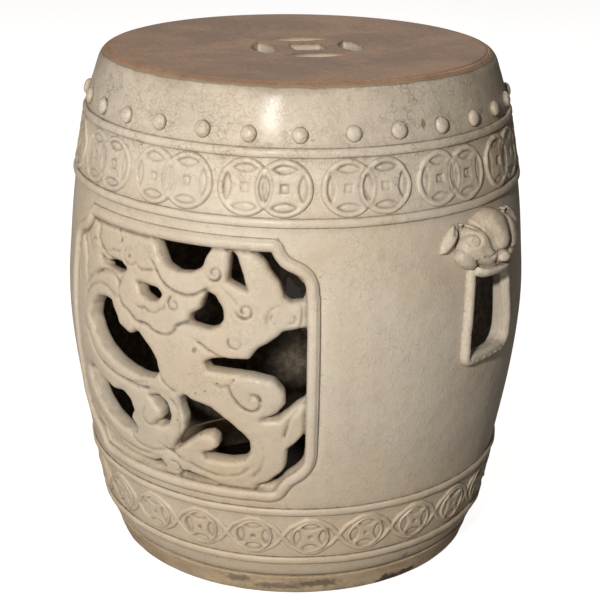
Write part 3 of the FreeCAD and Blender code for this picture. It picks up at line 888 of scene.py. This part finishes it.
def chain_coin(k):
    """A sprig of one coin and the two crossing strands that run on to the next."""
    cell = 0.8
    pitch = 2 * math.pi * radius_at(CHAIN_LEVEL) / CHAIN_COUNT
    high = CHAIN_RADIUS + 6.0
    grid = (np.arange(-CHAIN_RADIUS - 2.5, pitch - 1.0, cell), np.arange(-high, high + cell, cell))
    x, z = np.meshgrid(*grid, indexing="ij")
    r = np.hypot(x, z)
    wave = 0.5 * bumps(x, z, 22, 700 + k)
    worn = 0.5 + 0.5 * ease(bumps(x, z, 34, 900 + k), -0.9, 0.7)
    face, hole, line = coin_relief(x + wave, z - wave, CHAIN_RADIUS + 1.0, 0.76, 3.6, 10.0)
    near = []
    for angle, radius in ((98, 17.0), (80, 17.0), (62, 17.0), (44, 17.4), (25, 19.8)):
        near.append((radius * math.cos(math.radians(angle)), radius * math.sin(math.radians(angle))))
    rope = smooth_curve(near + [(pitch / 2, 0.0)] + [(pitch - px, -pz) for px, pz in reversed(near)], 6)
    away = np.minimum(line_distance(x, z, rope)[0], line_distance(x, -z, rope)[0])
    lift = np.maximum(face, 0.9 * (1 - np.clip(away / 2.7, 0, 1) ** 2.4))
    line = np.maximum(line, 0.75 * bell(away - 2.8, 0.7) * (r > CHAIN_RADIUS + 0.6))
    line = line * (1 - ease(x, pitch - 9, pitch - 5))
    height = 1.1 * SPRIG_RISE * lift * (1 - hole * worn * (r < CHAIN_RADIUS)) - 0.4
    height = soften(height - 0.3 * line + 0.25 * bumps(x, z, 13, 300 + k) * np.clip(lift, 0, 1), 0.5)
    outline = np.minimum(r - CHAIN_RADIUS - 1.6, away - 3.3)
    # Grime and painted shade along the lens edges and the strands and in the creases
    grime_and_shade = 0.50 * line * worn + 0.60 * hollow_of(height, cell, 1.5, 1.1)
    name = "chain_coin_%02d" % (k + 1)
    turn = math.radians(CHAIN_PHASE + 360.0 / CHAIN_COUNT * k)
    relief_piece("pressed_" + name, name, "chain_glaze", grid, height, outline, grime_and_shade, turn, CHAIN_LEVEL)


# Carved windows

WINDOW_LINE = smooth_curve(WINDOW_SIDE + [(-x, z) for x, z in reversed(WINDOW_SIDE)], 5, closed=True)

# The carver's lines on the dragon and clouds: (points, width, depth, step)
DRAGON_LINES = (
    (((-14, 307), (-8, 299), (-2, 291), (5, 286), (12, 283.5), (22, 282.5), (30, 284), (36, 287), (41, 290)),
     1.1, 1.6, 0.5),
    (((-30, 300), (-24, 295.5), (-17, 296), (-9, 297.5)), 1.0, 1.2, 0.2),
    (((-29, 266), (-24, 263.5), (-18, 264.5), (-13, 262), (-6, 263), (-3, 266), (1, 268), (2, 274)),
     0.9, 1.1, 0.3),
    (((-49, 266), (-44, 261), (-38, 258.5), (-32, 254), (-27, 251), (-18, 251), (-13, 250), (-9, 247.5),
      (0, 246), (7, 247.5), (11, 251), (13, 255), (18, 258), (26, 261)), 1.2, 1.8, 0.6),
    (((31, 247), (38, 243), (45, 238.5), (53, 234.5), (62, 232), (74, 232)), 1.1, 1.4, 0.4),
    (((-98, 268), (-87, 277), (-76, 283), (-62, 287)), 1.4, 1.2, 0.3),
    (((-100, 254), (-92, 264), (-80, 270), (-66, 271), (-52, 265)), 1.3, 0.9, 0.0),
    (((-100, 224), (-91, 209), (-78, 200), (-62, 195), (-45, 193), (-28, 192), (-14, 194)), 1.5, 1.8, 0.4),
    (((-6, 213), (0, 203.5), (7, 199), (14, 196.5)), 1.1, 1.4, 0.3),
    (((44, 213), (52, 209), (60, 211), (66, 218), (77, 221)), 1.1, 0.9, 0.0),
    (((59, 211), (61, 204), (65, 198), (70, 192.5), (77, 189.5), (82, 191), (85, 197), (83, 203), (78, 204),
      (75, 201)), 1.1, 1.7, 0.3),
    (((118, 193), (110, 185), (107, 175), (104, 164)), 1.2, 1.3, 0.3),
    (((50, 108.5), (62, 107), (73, 108.5), (81, 113), (90, 118)), 1.0, 1.5, 0.0),
    (((-16, 107.5), (-2, 108), (5, 111), (9, 117), (8, 126)), 1.0, 1.3, 0.0),
    (((-58, 158), (-44, 138), (-24, 134), (-5, 138)), 1.2, 1.0, 0.2),
    (((-84, 140), (-64, 131), (-42, 127.5), (-22, 129)), 1.2, 1.0, 0.2),
    (((-100, 146), (-84, 133.5), (-62, 126)), 1.2, 0.9, 0.0),
    (((16, 133), (30, 127), (48, 124), (66, 128), (76, 137)), 1.3, 1.0, 0.0),
    (((86, 160), (88, 146), (84, 134), (76, 124)), 1.4, 0.9, 0.2),
    (((117, 262), (118, 272), (118, 284)), 1.0, 1.2, 0.0),
    (((92, 262), (90, 270), (93, 277), (99, 281)), 1.0, 1.0, 0.0),
    (((-107, 306), (-104, 292), (-100, 280), (-98, 268)), 1.5, 1.8, 0.0),
    (((-96, 327), (-88, 322), (-80, 317), (-76, 311)), 1.4, 1.6, 0.2),
    (((-60, 328), (-52, 322), (-49, 315), (-45, 311)), 1.1, 1.5, 0.0),
    (((-80, 309), (-74, 303), (-66, 301), (-58, 303)), 1.0, 1.2, 0.0),
    (((-78, 324), (-82, 315), (-78.5, 305), (-69, 298.5), (-57, 295)), 1.1, 1.3, 0.2),
    (((-69, 312), (-59, 309.5), (-50, 312), (-44, 318.5)), 0.9, 1.1, 0.0),
    (((-64, 305.5), (-53, 304), (-43, 307.5)), 0.9, 1.0, 0.0),
    (((-113.5, 307), (-106, 295.5), (-100, 286), (-102.5, 273.5)), 1.1, 1.4, 0.0),
    (((-101.5, 309), (-94.5, 300), (-88, 291.5)), 1.0, 1.2, 0.0),
    (((-84.5, 276.5), (-71.5, 283.5), (-56, 283), (-47, 276.5)), 1.1, 1.3, 0.2),
    (((-44, 286), (-49, 276), (-48, 267.5), (-43.5, 261.5)), 1.0, 1.2, 0.2),
    (((-8.5, 323.5), (-3.5, 310.5), (6, 302.5)), 1.2, 1.1, 0.2),
    (((-75, 200.5), (-58.5, 195.5), (-39, 194), (-14, 199.5)), 1.0, 1.0, 0.0),
    (((-22, 176.5), (-27, 166), (-22.5, 158.5), (-11.5, 160)), 1.0, 1.2, 0.0),
    (((-105, 136.5), (-82.5, 126.5), (-57.5, 119.5), (-39.5, 118)), 1.1, 1.3, 0.0),
    (((-11, 143), (-1, 138), (12, 133)), 1.0, 1.1, 0.2),
    (((3.5, 191), (10.5, 182), (12.5, 168), (9.5, 151.5)), 1.2, 1.2, 0.2),
    (((54, 292), (66, 281), (73, 266)), 1.0, 0.9, 0.0),
    (((22, 170), (38, 163), (52, 152), (60, 140)), 1.1, 0.9, 0.0),
)
# Curls of the clouds: (across, height, radius, turns, start, hand)
DRAGON_CURLS = (
    (11, 272.5, 6.2, 1.3, 95, 1), (73, 275, 7.2, 1.6, 170, 1), (65.5, 248, 6.4, 1.5, 120, 1),
    (47, 303, 6.5, 1.5, 200, 1), (79.5, 198, 5.0, 0.9, 20, 1), (3, 122.5, 6.0, 1.4, 150, -1),
    (97, 269, 4.2, 1.2, 90, 1), (109, 270, 4.2, 1.2, 90, -1), (-88, 301, 5.5, 1.3, 30, 1),
)
# Swells of the relief: (across, height, half width, half height, rise)
DRAGON_DOMES = (
    (-56, 313, 12, 11, 1.1), (-36, 303, 9, 8, 0.8), (-68, 312, 8, 10, 0.8), (-20, 306, 10, 9, 0.5),
    (-42, 274, 14, 9, 0.5), (8, 236, 26, 20, 0.7), (20, 212, 18, 16, 0.6), (77, 206, 14, 12, 0.7),
    (64, 256, 15, 14, 0.5), (60, 285, 12, 12, 0.4), (3, 123, 8, 7, 0.9), (-23, 166, 7, 7, 0.7),
    (104, 271, 12, 9, 0.6), (84, 303, 6, 20, 0.6), (45, 150, 7, 8, 0.6), (92, 148, 8, 14, 0.5),
    (-88, 302, 8, 12, 0.7),
)
# Patches of pricked dots: (across, height, half width, half height, seed)
DOTTED = ((-55, 313, 14, 10, 31), (103, 272, 14, 9, 32), (58, 287, 12, 8, 33), (50, 262, 10, 7, 34),
          (20, 294, 16, 6, 35), (-70, 303, 10, 8, 36), (-78, 318, 12, 8, 37), (100, 285, 10, 8, 38))
DRAGON_EYE = (-36.5, 302.5)


def panel_gaps():
    """Outlines of the gaps on the front panel's outer face, as (across, height)."""
    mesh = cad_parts["front_dragon_panel"].data
    at = np.array([v.co for v in mesh.vertices]) / MM
    key = {}
    same = [key.setdefault(tuple(p), len(key)) for p in np.round(at, 2)]
    place = np.zeros((len(key), 3))
    place[same] = at
    edges = {}
    for face in mesh.polygons:
        middle = at[list(face.vertices)].mean(0)
        if face.normal.dot(Vector((middle[0], middle[1], 0)).normalized()) < 0.7:
            continue
        ring = [same[v] for v in face.vertices]
        for a, b in zip(ring, ring[1:] + ring[:1]):
            if not edges.pop((b, a), False):
                edges[a, b] = True
    following = dict(edges.keys())
    loops = []
    while following:
        start, now = following.popitem()
        loop = [start]
        while now != start:
            loop.append(now)
            now = following.pop(now)
        x, y, height = place[loop].T
        loops.append(np.stack([np.arctan2(x, -y) * BELLY, height], -1))
    return sorted(loops, key=lambda loop: -np.ptp(loop[:, 0]))[1:]


def within(x, z, line, reach):
    """Which points lie within a reach of a line's own box."""
    low, high = line.min(0) - reach, line.max(0) + reach
    return (x > low[0]) & (x < high[0]) & (z > low[1]) & (z < high[1])


def carve(height, x, z, line, width, depth, step=0.0):
    """Cuts a groove along a line into a relief, and lifts the clay on its left side by a fading step."""
    fade = 5.0
    line = np.asarray(line, float)
    near = within(x, z, line, max(3 * width, 3 * fade if step else 0))
    x, z = x[near], z[near]
    d, side = line_distance(x, z, line)
    along = np.minimum(*(np.hypot(x - px, z - pz) for px, pz in line[[0, -1]]))
    taper = 0.35 + 0.65 * ease(along, 0, 5)
    height[near] -= depth * taper * bell(d, width, 1.6)
    if step:
        height[near] += step * taper * side * np.exp(-d / fade) * ease(d, 0, width)


def stipple(height, x, z, across, up, wide, high, seed):
    """Pricks small dots into a patch of the clouds."""
    draw = np.random.default_rng(seed)
    for _ in range(int(wide * high * 0.16)):
        px = across + wide * draw.uniform(-1, 1)
        pz = up + high * draw.uniform(-1, 1)
        if ((px - across) / wide) ** 2 + ((pz - up) / high) ** 2 > 1:
            continue
        near = (np.abs(x - px) < 3) & (np.abs(z - pz) < 3)
        height[near] -= 0.45 * np.exp(-((x[near] - px) ** 2 + (z[near] - pz) ** 2) / 0.9)


def carved_window(turn, side):
    """The pierced dragon panel and the notched moulding round it."""
    cell = 1.15
    across, up = (np.arange(line.min() - 2, line.max() + 2 + cell, cell) for line in WINDOW_LINE.T)
    grid = (across, up - WINDOW_LEVEL)
    x, z = np.meshgrid(across, up, indexing="ij")
    edge = loop_field(x, z, WINDOW_LINE)
    open_by = np.full(x.shape, -99.0)
    for gap in panel_gaps():
        near = within(x, z, gap, 30)
        px = x[near] - 7.0 * ease(x[near], 76, 102) + 0.5 * bumps(x[near], z[near], 16, 44)
        pz = z[near] - 6.0 * ease(z[near], 302, 320)
        open_by[near] = np.maximum(open_by[near], -loop_field(px, pz, gap))
    open_by = open_by + 1.5 * ease(edge, -22.0, -13.0) * ease(x, 60, 80)
    inner = edge + MOULDING_WIDTH
    open_by = soften(np.minimum(open_by, 0.6 - inner), 0.8)
    away = np.clip(-open_by, 0, 14)
    height = 1.6 - 3.0 * np.clip(1 - away / 4.6, 0, 1) ** 2 - 1.2 * np.clip(1 - away / 13.0, 0, 1) ** 2
    for px, pz, wide, high, rise in DRAGON_DOMES:
        height += 1.6 * rise * np.exp(-((x - px) / wide) ** 2 - ((z - pz) / high) ** 2)
    for points, width, depth, step in DRAGON_LINES:
        carve(height, x, z, smooth_curve(points), 1.45 * width, 1.5 * depth, 1.7 * step + 0.3)
    for px, pz, radius, turns, start, hand in DRAGON_CURLS:
        height += 1.3 * bell(np.hypot(x - px, z - pz), 1.2 * radius, 4)
        carve(height, x, z, spiral(px, pz, 1.12 * radius, turns, start, hand), 1.35, 3.2)
    eye = np.hypot((x - DRAGON_EYE[0]) / 1.15, z - DRAGON_EYE[1])
    height -= 1.8 * bell(eye - 6.3, 1.2) + 1.2 * bell(eye, 2.8, 4)
    for patch in DOTTED:
        stipple(height, x, z, *patch)
    height += 0.38 * bumps(x, z, 26, 40) + 0.2 * bumps(x, z, 9, 46)
    height = soften(height, 0.4)
    height = np.where(height > 0.9, 0.9 + 0.6 * np.tanh((height - 0.9) / 0.8), height)
    height -= 1.8 * bell(inner + 0.6, 2.2)
    border = ease(inner, 0.0, 2.0)
    height = height * (1 - border) + BORDER_RISE * border
    # Grime and painted shade in the carving's creases and along the moulding's inner edge
    grime_and_shade = 1.5 * hollow_of(height, cell, 2.1, 0.8) + 0.5 * bell(inner + 0.5, 1.5)
    deep = [-PANEL_THICK - 1.5, -PANEL_THICK + 1.5, -8.0, -5.4, -3.8]
    layers = np.concatenate([deep, np.arange(-2.6, 3.6, 1.2)])
    relief_piece("carved_%s_dragon_panel" % side, side + "_dragon_panel", "carving_glaze", grid, height,
                 np.maximum(open_by, edge + 1.0), grime_and_shade, turn, WINDOW_LEVEL, -PANEL_THICK, layers, 1.4)
    middle = edge + MOULDING_WIDTH / 2
    band = np.abs(middle) / (MOULDING_WIDTH / 2)
    height = MOULDING_RISE * (1 - np.clip(band, 0, 1.2) ** 2.6) + 0.3 * bumps(x, z, 24, 41)
    height -= 0.7 * bell(band - 0.55, 0.12) * (middle > 0)
    # Grime and painted shade on both edges of the moulding and in its creases
    grime_and_shade = 0.75 * ease(band, 0.84, 1.0) + 0.9 * hollow_of(height, cell, 1.4, 0.9)
    layers = np.array([-2.4, -0.6, 0.5, 1.6, 2.7, 4.2])
    relief_piece("raised_%s_window_moulding" % side, side + "_window_frame", "moulding_glaze", grid, height,
                 (band - 1.04) * MOULDING_WIDTH / 2, grime_and_shade, turn, WINDOW_LEVEL, layers=layers)


# Lion masks and handle loops

# Balls joined to a mask: (softness of the joint, middle across, up and out, half sizes the same way, lean)
HEAD = ((4.0, 18, 6, 4, 19, 15, 14), (4.0, 12, -3, 8, 15, 10.5, 11.5), (2.0, 0, -16.5, 3, 25, 8.5, 14.5))
BRIDGE = ((5.0, 0, 5, 7, 13, 14, 15.5),)
NOSE_EYE_CHEEK = ((1.2, 0, -7.5, 18.5, 6.2, 4.6, 5.2), (2.0, 29, 11, 8.5, 5.0, 5.0, 4.4),
                  (0.9, 31.5, -4.5, 4.5, 14, 6.8, 8.0, 36))
# Lines cut in a mask: (points, width, depth)
MASK_LINES = (
    (((42, 17), (37.5, 23), (31, 26.3), (25, 25), (19.5, 19.5), (15.5, 12), (13.2, 4), (9.5, -2.0)),
     1.5, 1.9),
    (((24.4, 11), (25.6, 14.3), (29, 15.6), (32.4, 14.3), (33.6, 11), (32.4, 7.7), (29, 6.4), (25.6, 7.7),
      (24.4, 11)), 0.8, 1.2),
    (((27.4, 11), (29, 12.4), (30.6, 11), (29, 9.6), (27.4, 11)), 0.7, 0.8),
    (((38, 6), (38.5, 13.5), (35, 19.6), (28.5, 21.6), (22.5, 18)), 1.0, 1.2),
    (((21, -4), (15, -4.6), (9.5, -2.4), (5.5, -1.6), (0, -1.4)), 1.0, 1.5),
    (((7.0, -2), (8.4, -7), (6.4, -11.5), (2.5, -13.5), (0, -13.8)), 0.9, 1.6),
    (((25, -6.5), (19, -12), (11.5, -14.6), (5, -15.2), (0, -14.8)), 1.1, 2.2),
    (((22.5, -11), (24.5, -17), (24, -24)), 1.1, 2.4),
    (((35.5, 21), (38, 14), (42, 7), (46, 0.5)), 3.0, 3.4),
)


def ball(x, z, w, cx, cz, cw, rx, rz, rw, lean=0.0):
    """Rough signed distance to a leaning egg shape."""
    c, s = math.cos(math.radians(lean)), math.sin(math.radians(lean))
    px = (x - cx) * c + (z - cz) * s
    pz = (z - cz) * c - (x - cx) * s
    r = np.sqrt((px / rx) ** 2 + (pz / rz) ** 2 + ((w - cw) / rw) ** 2)
    return (r - 1) * min(rx, rz, rw)


def add_balls(field, place, balls):
    """Joins more balls to a field of clay."""
    for soft, *egg in balls:
        field = blend_min(field, ball(*place, *egg), soft)
    return field


def lion_mask(turn, side):
    """A lion's head: a broad bridge down to the nose, ringed eyes, heavy cheeks and leaf-shaped ears."""
    across = np.arange(-60, 60.5, 1.0)
    up = np.arange(-29, 32.5, 1.0)
    out = np.arange(-3.2, 26.5, 1.05)
    x, z, w = np.meshgrid(across, up, out, indexing="ij")
    place = (np.abs(x), z, w)
    field = add_balls(ball(*place, 0, 5, -3, 38, 25, 17), place, HEAD)
    bridge = add_balls(ball(*place, 0, 17, 0, 18.5, 14, 18.5), place, BRIDGE)
    field = add_balls(blend_min(field, bridge, 1.8), place, NOSE_EYE_CHEEK)
    upper, lower = (ball(*place, 42 + 2.8 * way, 14.5 + 3.1 * way, 0.5, 19, 11, 8.2, -42) for way in (1, -1))
    field = blend_min(field, blend_max(upper, lower, 0.8), 1.2)
    flat = np.meshgrid(np.abs(across), up, indexing="ij")
    cut = np.zeros(flat[0].shape)
    for points, width, depth in MASK_LINES:
        cut = np.maximum(cut, depth * bell(line_distance(*flat, smooth_curve(points, 5))[0], width))
    field = field + cut[..., None] + 0.35 * bumps(x + 2 * w, z + w, 14, 50)
    field = np.maximum(field, -1.8 - w)
    field = blend_max(field, -27.3 - z, 1.0)
    corners, faces = clay_skin(field, (across, up, out))
    # Grime and painted shade in the mask's cut lines and where it meets the wall
    grime_and_shade = 0.34 * sample(cut, across, up, corners) + 0.5 * (1 - ease(corners[:, 2], 0.0, 1.8))
    turns = turn + (corners[:, 0] + MASK_SHIFT) / radius_at(MASK_LEVEL)
    skin = on_wall(turns, MASK_LEVEL + corners[:, 1], corners[:, 2])
    make_piece("modelled_%s_lion_mask" % side, [side + "_lion_mask"], "mask_glaze", skin, faces, grime_and_shade)


def handle_loop(turn, side):
    """The squared loop pressed on round the hand opening, with a fret cut in its lower bar."""
    cell = 0.9
    middle = OPENING_HALF + LOOP_BAR / 2
    low = OPENING_LOW - LOOP_BAR / 2
    outer = OPENING_HALF + LOOP_BAR + 2
    across = np.arange(-outer, outer + cell, cell)
    up = np.arange(OPENING_LOW - LOOP_BAR - 2, OPENING_HIGH + 18, cell)
    x, z = np.meshgrid(across, up, indexing="ij")
    narrow = 0.11 * np.maximum(z - 238, 0)
    bar = np.abs(rounded_box(x, z, middle - narrow, low, OPENING_HIGH + 60, np.where(x > 0, 13.0, 6.0)))
    share = np.clip(bar / (LOOP_BAR / 2), 0, 1.3)
    fret = np.zeros(x.shape)
    for px in np.arange(-18, 19, 9.0):
        hook = [(px - 3.2, 209.5), (px - 3.2, 214.8), (px + 3.2, 214.8), (px + 3.2, 210.6), (px, 210.6)]
        carve(fret, x, z, hook, 0.9, 1.0)
    height = LOOP_RISE * (1 - share ** 2.6) + 0.35 * bumps(x, z, 18, 60) + fret
    outline = np.maximum((share - 1.02) * LOOP_BAR / 2, z - OPENING_HIGH - 15)
    inside = np.maximum(np.abs(x) - middle + narrow, low - z) < 0
    # Grime and painted shade in the loop's creases and fret and along its outer edge
    grime_and_shade = 0.7 * hollow_of(height, cell, 1.6, 0.9) - 0.6 * fret + 0.6 * ease(share, 0.88, 1.0) * ~inside
    layers = np.concatenate([[-2.4, -0.8], np.arange(0.5, 8.6, 1.2)])
    grid = (across, up - LOOP_LEVEL)
    relief_piece("squared_%s_handle_loop" % side, side + "_handle_loop", "loop_glaze", grid, height,
                 outline, grime_and_shade, turn, LOOP_LEVEL, layers=layers)


# Floor, light and camera

AIM_LEVEL = 0.25
CAMERA_TURN = 31.3
CAMERA_OUT = 1.26724
CAMERA_UP = 0.6741
CAMERA_LENS = 87.2
CAMERA_SENSOR = 36.0
CAMERA_DOWN = -20.04
CAMERA_PAN = 0.195
CAMERA_ROLL = -0.741

# Painted shadow on the floor: a dark oval behind the stool
SHADE_MIDDLE = (172, 0, 0.42)
SHADE_LENGTH = 0.56
SHADE_WIDTH = 0.165
FLOOR_PAINTED_SHADOW = (0.03, 0.026, 0.02, 1)
FLOOR_PALE = (0.26, 0.256, 0.25, 1)
FLOOR_GLOW = (1.0, 0.99, 0.98, 1)

# Lamps: (name, place seen from the stool, size, power, colour)
LAMPS = (
    ("lamp_by_the_viewpoint", (-12, 25, 1.6), 0.12, 18.2, (1.0, 0.965, 0.92)),
    ("left_light", (-95, 14, 2.2), 1.2, 7, (1.0, 0.95, 0.88)),
    ("low_light", (-32, 0, 2.2), 1.2, 12, (1.0, 0.95, 0.88)),
    ("back_light", (176, 38, 2.6), 1.8, 26, (1.0, 0.95, 0.9)),
)


def view_place(aside, rise, away):
    """A place seen from the stool at degrees beside the camera's turn, a rise in degrees and a distance."""
    turn = math.radians(CAMERA_TURN + aside)
    flat = away * math.cos(math.radians(rise))
    height = AIM_LEVEL + away * math.sin(math.radians(rise))
    return Vector((flat * math.sin(turn), -flat * math.cos(turn), height))


def pale_floor():
    """A pale floor that glows for the camera only, with a painted shadow behind the stool: a dark oval that
    does not glow.
    """
    bpy.ops.mesh.primitive_plane_add(size=16)
    floor = bpy.context.object
    floor.name = "studio_floor"
    material, b, place = new_material("pale_floor")
    middle = view_place(*SHADE_MIDDLE)
    turn = math.atan2(middle.x, -middle.y)
    x, y, _ = b.parts(place)
    x = x - middle.x
    y = y - middle.y
    along = b.math("DIVIDE", x * math.sin(turn) - y * math.cos(turn), SHADE_LENGTH)
    aside = b.math("DIVIDE", x * math.cos(turn) + y * math.sin(turn), SHADE_WIDTH)
    # Painted shadow: inside the oval the floor is dark and does not glow
    clear_of_painted_shadow = b.step(b.math("SQRT", along * along + aside * aside), 0.8, 1.0)
    glow = b.value("Is Camera Ray", "LightPath") * 0.94
    b.finish(Base_Color=b.paint(FLOOR_PAINTED_SHADOW, (clear_of_painted_shadow, FLOOR_PALE)), Roughness=0.9, Emission_Color=FLOOR_GLOW,
             Emission_Strength=glow * clear_of_painted_shadow)
    floor.data.materials.append(material)


def lights():
    """A small warm lamp beside the viewpoint, faint lights round it and a dim warm sky."""
    for name, place, size, power, colour in LAMPS:
        data = bpy.data.lights.new(name, "AREA")
        data.shape = "DISK"
        data.size = size
        data.energy = power
        data.color = colour
        light = bpy.data.objects.new(name, data)
        light.location = view_place(*place)
        aim = Vector((0, 0, AIM_LEVEL)) - light.location
        light.rotation_euler = aim.to_track_quat("-Z", "Y").to_euler()
        bpy.context.scene.collection.objects.link(light)
    world = bpy.data.worlds.new("soft_sky")
    world.use_nodes = True
    sky = world.node_tree.nodes["Background"]
    sky.inputs["Color"].default_value = (1.0, 0.88, 0.76, 1)
    sky.inputs["Strength"].default_value = 0.07
    bpy.context.scene.world = world
    bpy.context.scene.view_settings.view_transform = "Standard"


def camera():
    """The photograph's viewpoint."""
    data = bpy.data.cameras.new("viewpoint")
    data.lens = CAMERA_LENS
    data.sensor_width = CAMERA_SENSOR
    eye = bpy.data.objects.new("viewpoint", data)
    turn = math.radians(CAMERA_TURN)
    heading = turn - math.radians(CAMERA_PAN)
    down = math.radians(CAMERA_DOWN)
    roll = math.radians(CAMERA_ROLL)
    flat = math.cos(down)
    forward = Vector((-math.sin(heading) * flat, math.cos(heading) * flat, math.sin(down)))
    right = Vector((math.cos(heading), math.sin(heading), 0))
    above = right.cross(forward)
    side = right * math.cos(roll) - above * math.sin(roll)
    above = right * math.sin(roll) + above * math.cos(roll)
    basis = Matrix((side, above, -forward)).transposed().to_4x4()
    basis.translation = (CAMERA_OUT * math.sin(turn), -CAMERA_OUT * math.cos(turn), CAMERA_UP)
    eye.matrix_world = basis
    bpy.context.scene.collection.objects.link(eye)
    bpy.context.scene.camera = eye


ON_SPRIGS = glaze("glaze_on_sprigs", crackle=0.42)
FINISHES = {
    "barrel_glaze": glaze("crackle_glaze_on_wall", marks=WALL_MARKS, wall=True),
    "bead_glaze": ON_SPRIGS,
    "nail_glaze": ON_SPRIGS,
    "coin_glaze": ON_SPRIGS,
    "chain_glaze": ON_SPRIGS,
    "carving_glaze": glaze("glaze_on_carving", CREAM_ON_CARVING, 0.52, 0.40, spots=1.0, marks=CARVING_MARKS),
    "moulding_glaze": glaze("glaze_on_moulding", gloss=0.38, spots=0.9),
    "mask_glaze": glaze("glaze_on_masks", crackle=0.15, gloss=0.40),
    "loop_glaze": glaze("glaze_on_loops", crackle=0.15, gloss=0.40),
    "seat_clay": matt_clay("worn_seat_glaze", foot=False),
    "foot_clay": matt_clay("rough_foot_clay", foot=True),
}

camera()
pale_floor()
lights()
carved_window(0.0, "front")
carved_window(math.pi, "rear")
barrel_wall()
foot_ring()
seat_slab()
for node, level in BEAD_LEVELS.items():
    bead(node, level)
nail_heads()
for k in range(PAIR_COUNT):
    coin_pair(k)
for k in range(CHAIN_COUNT):
    chain_coin(k)
for side, turn in HANDLE_TURNS.items():
    lion_mask(math.radians(turn), side)
    handle_loop(math.radians(turn), side)

bpy.context.view_layer.update()
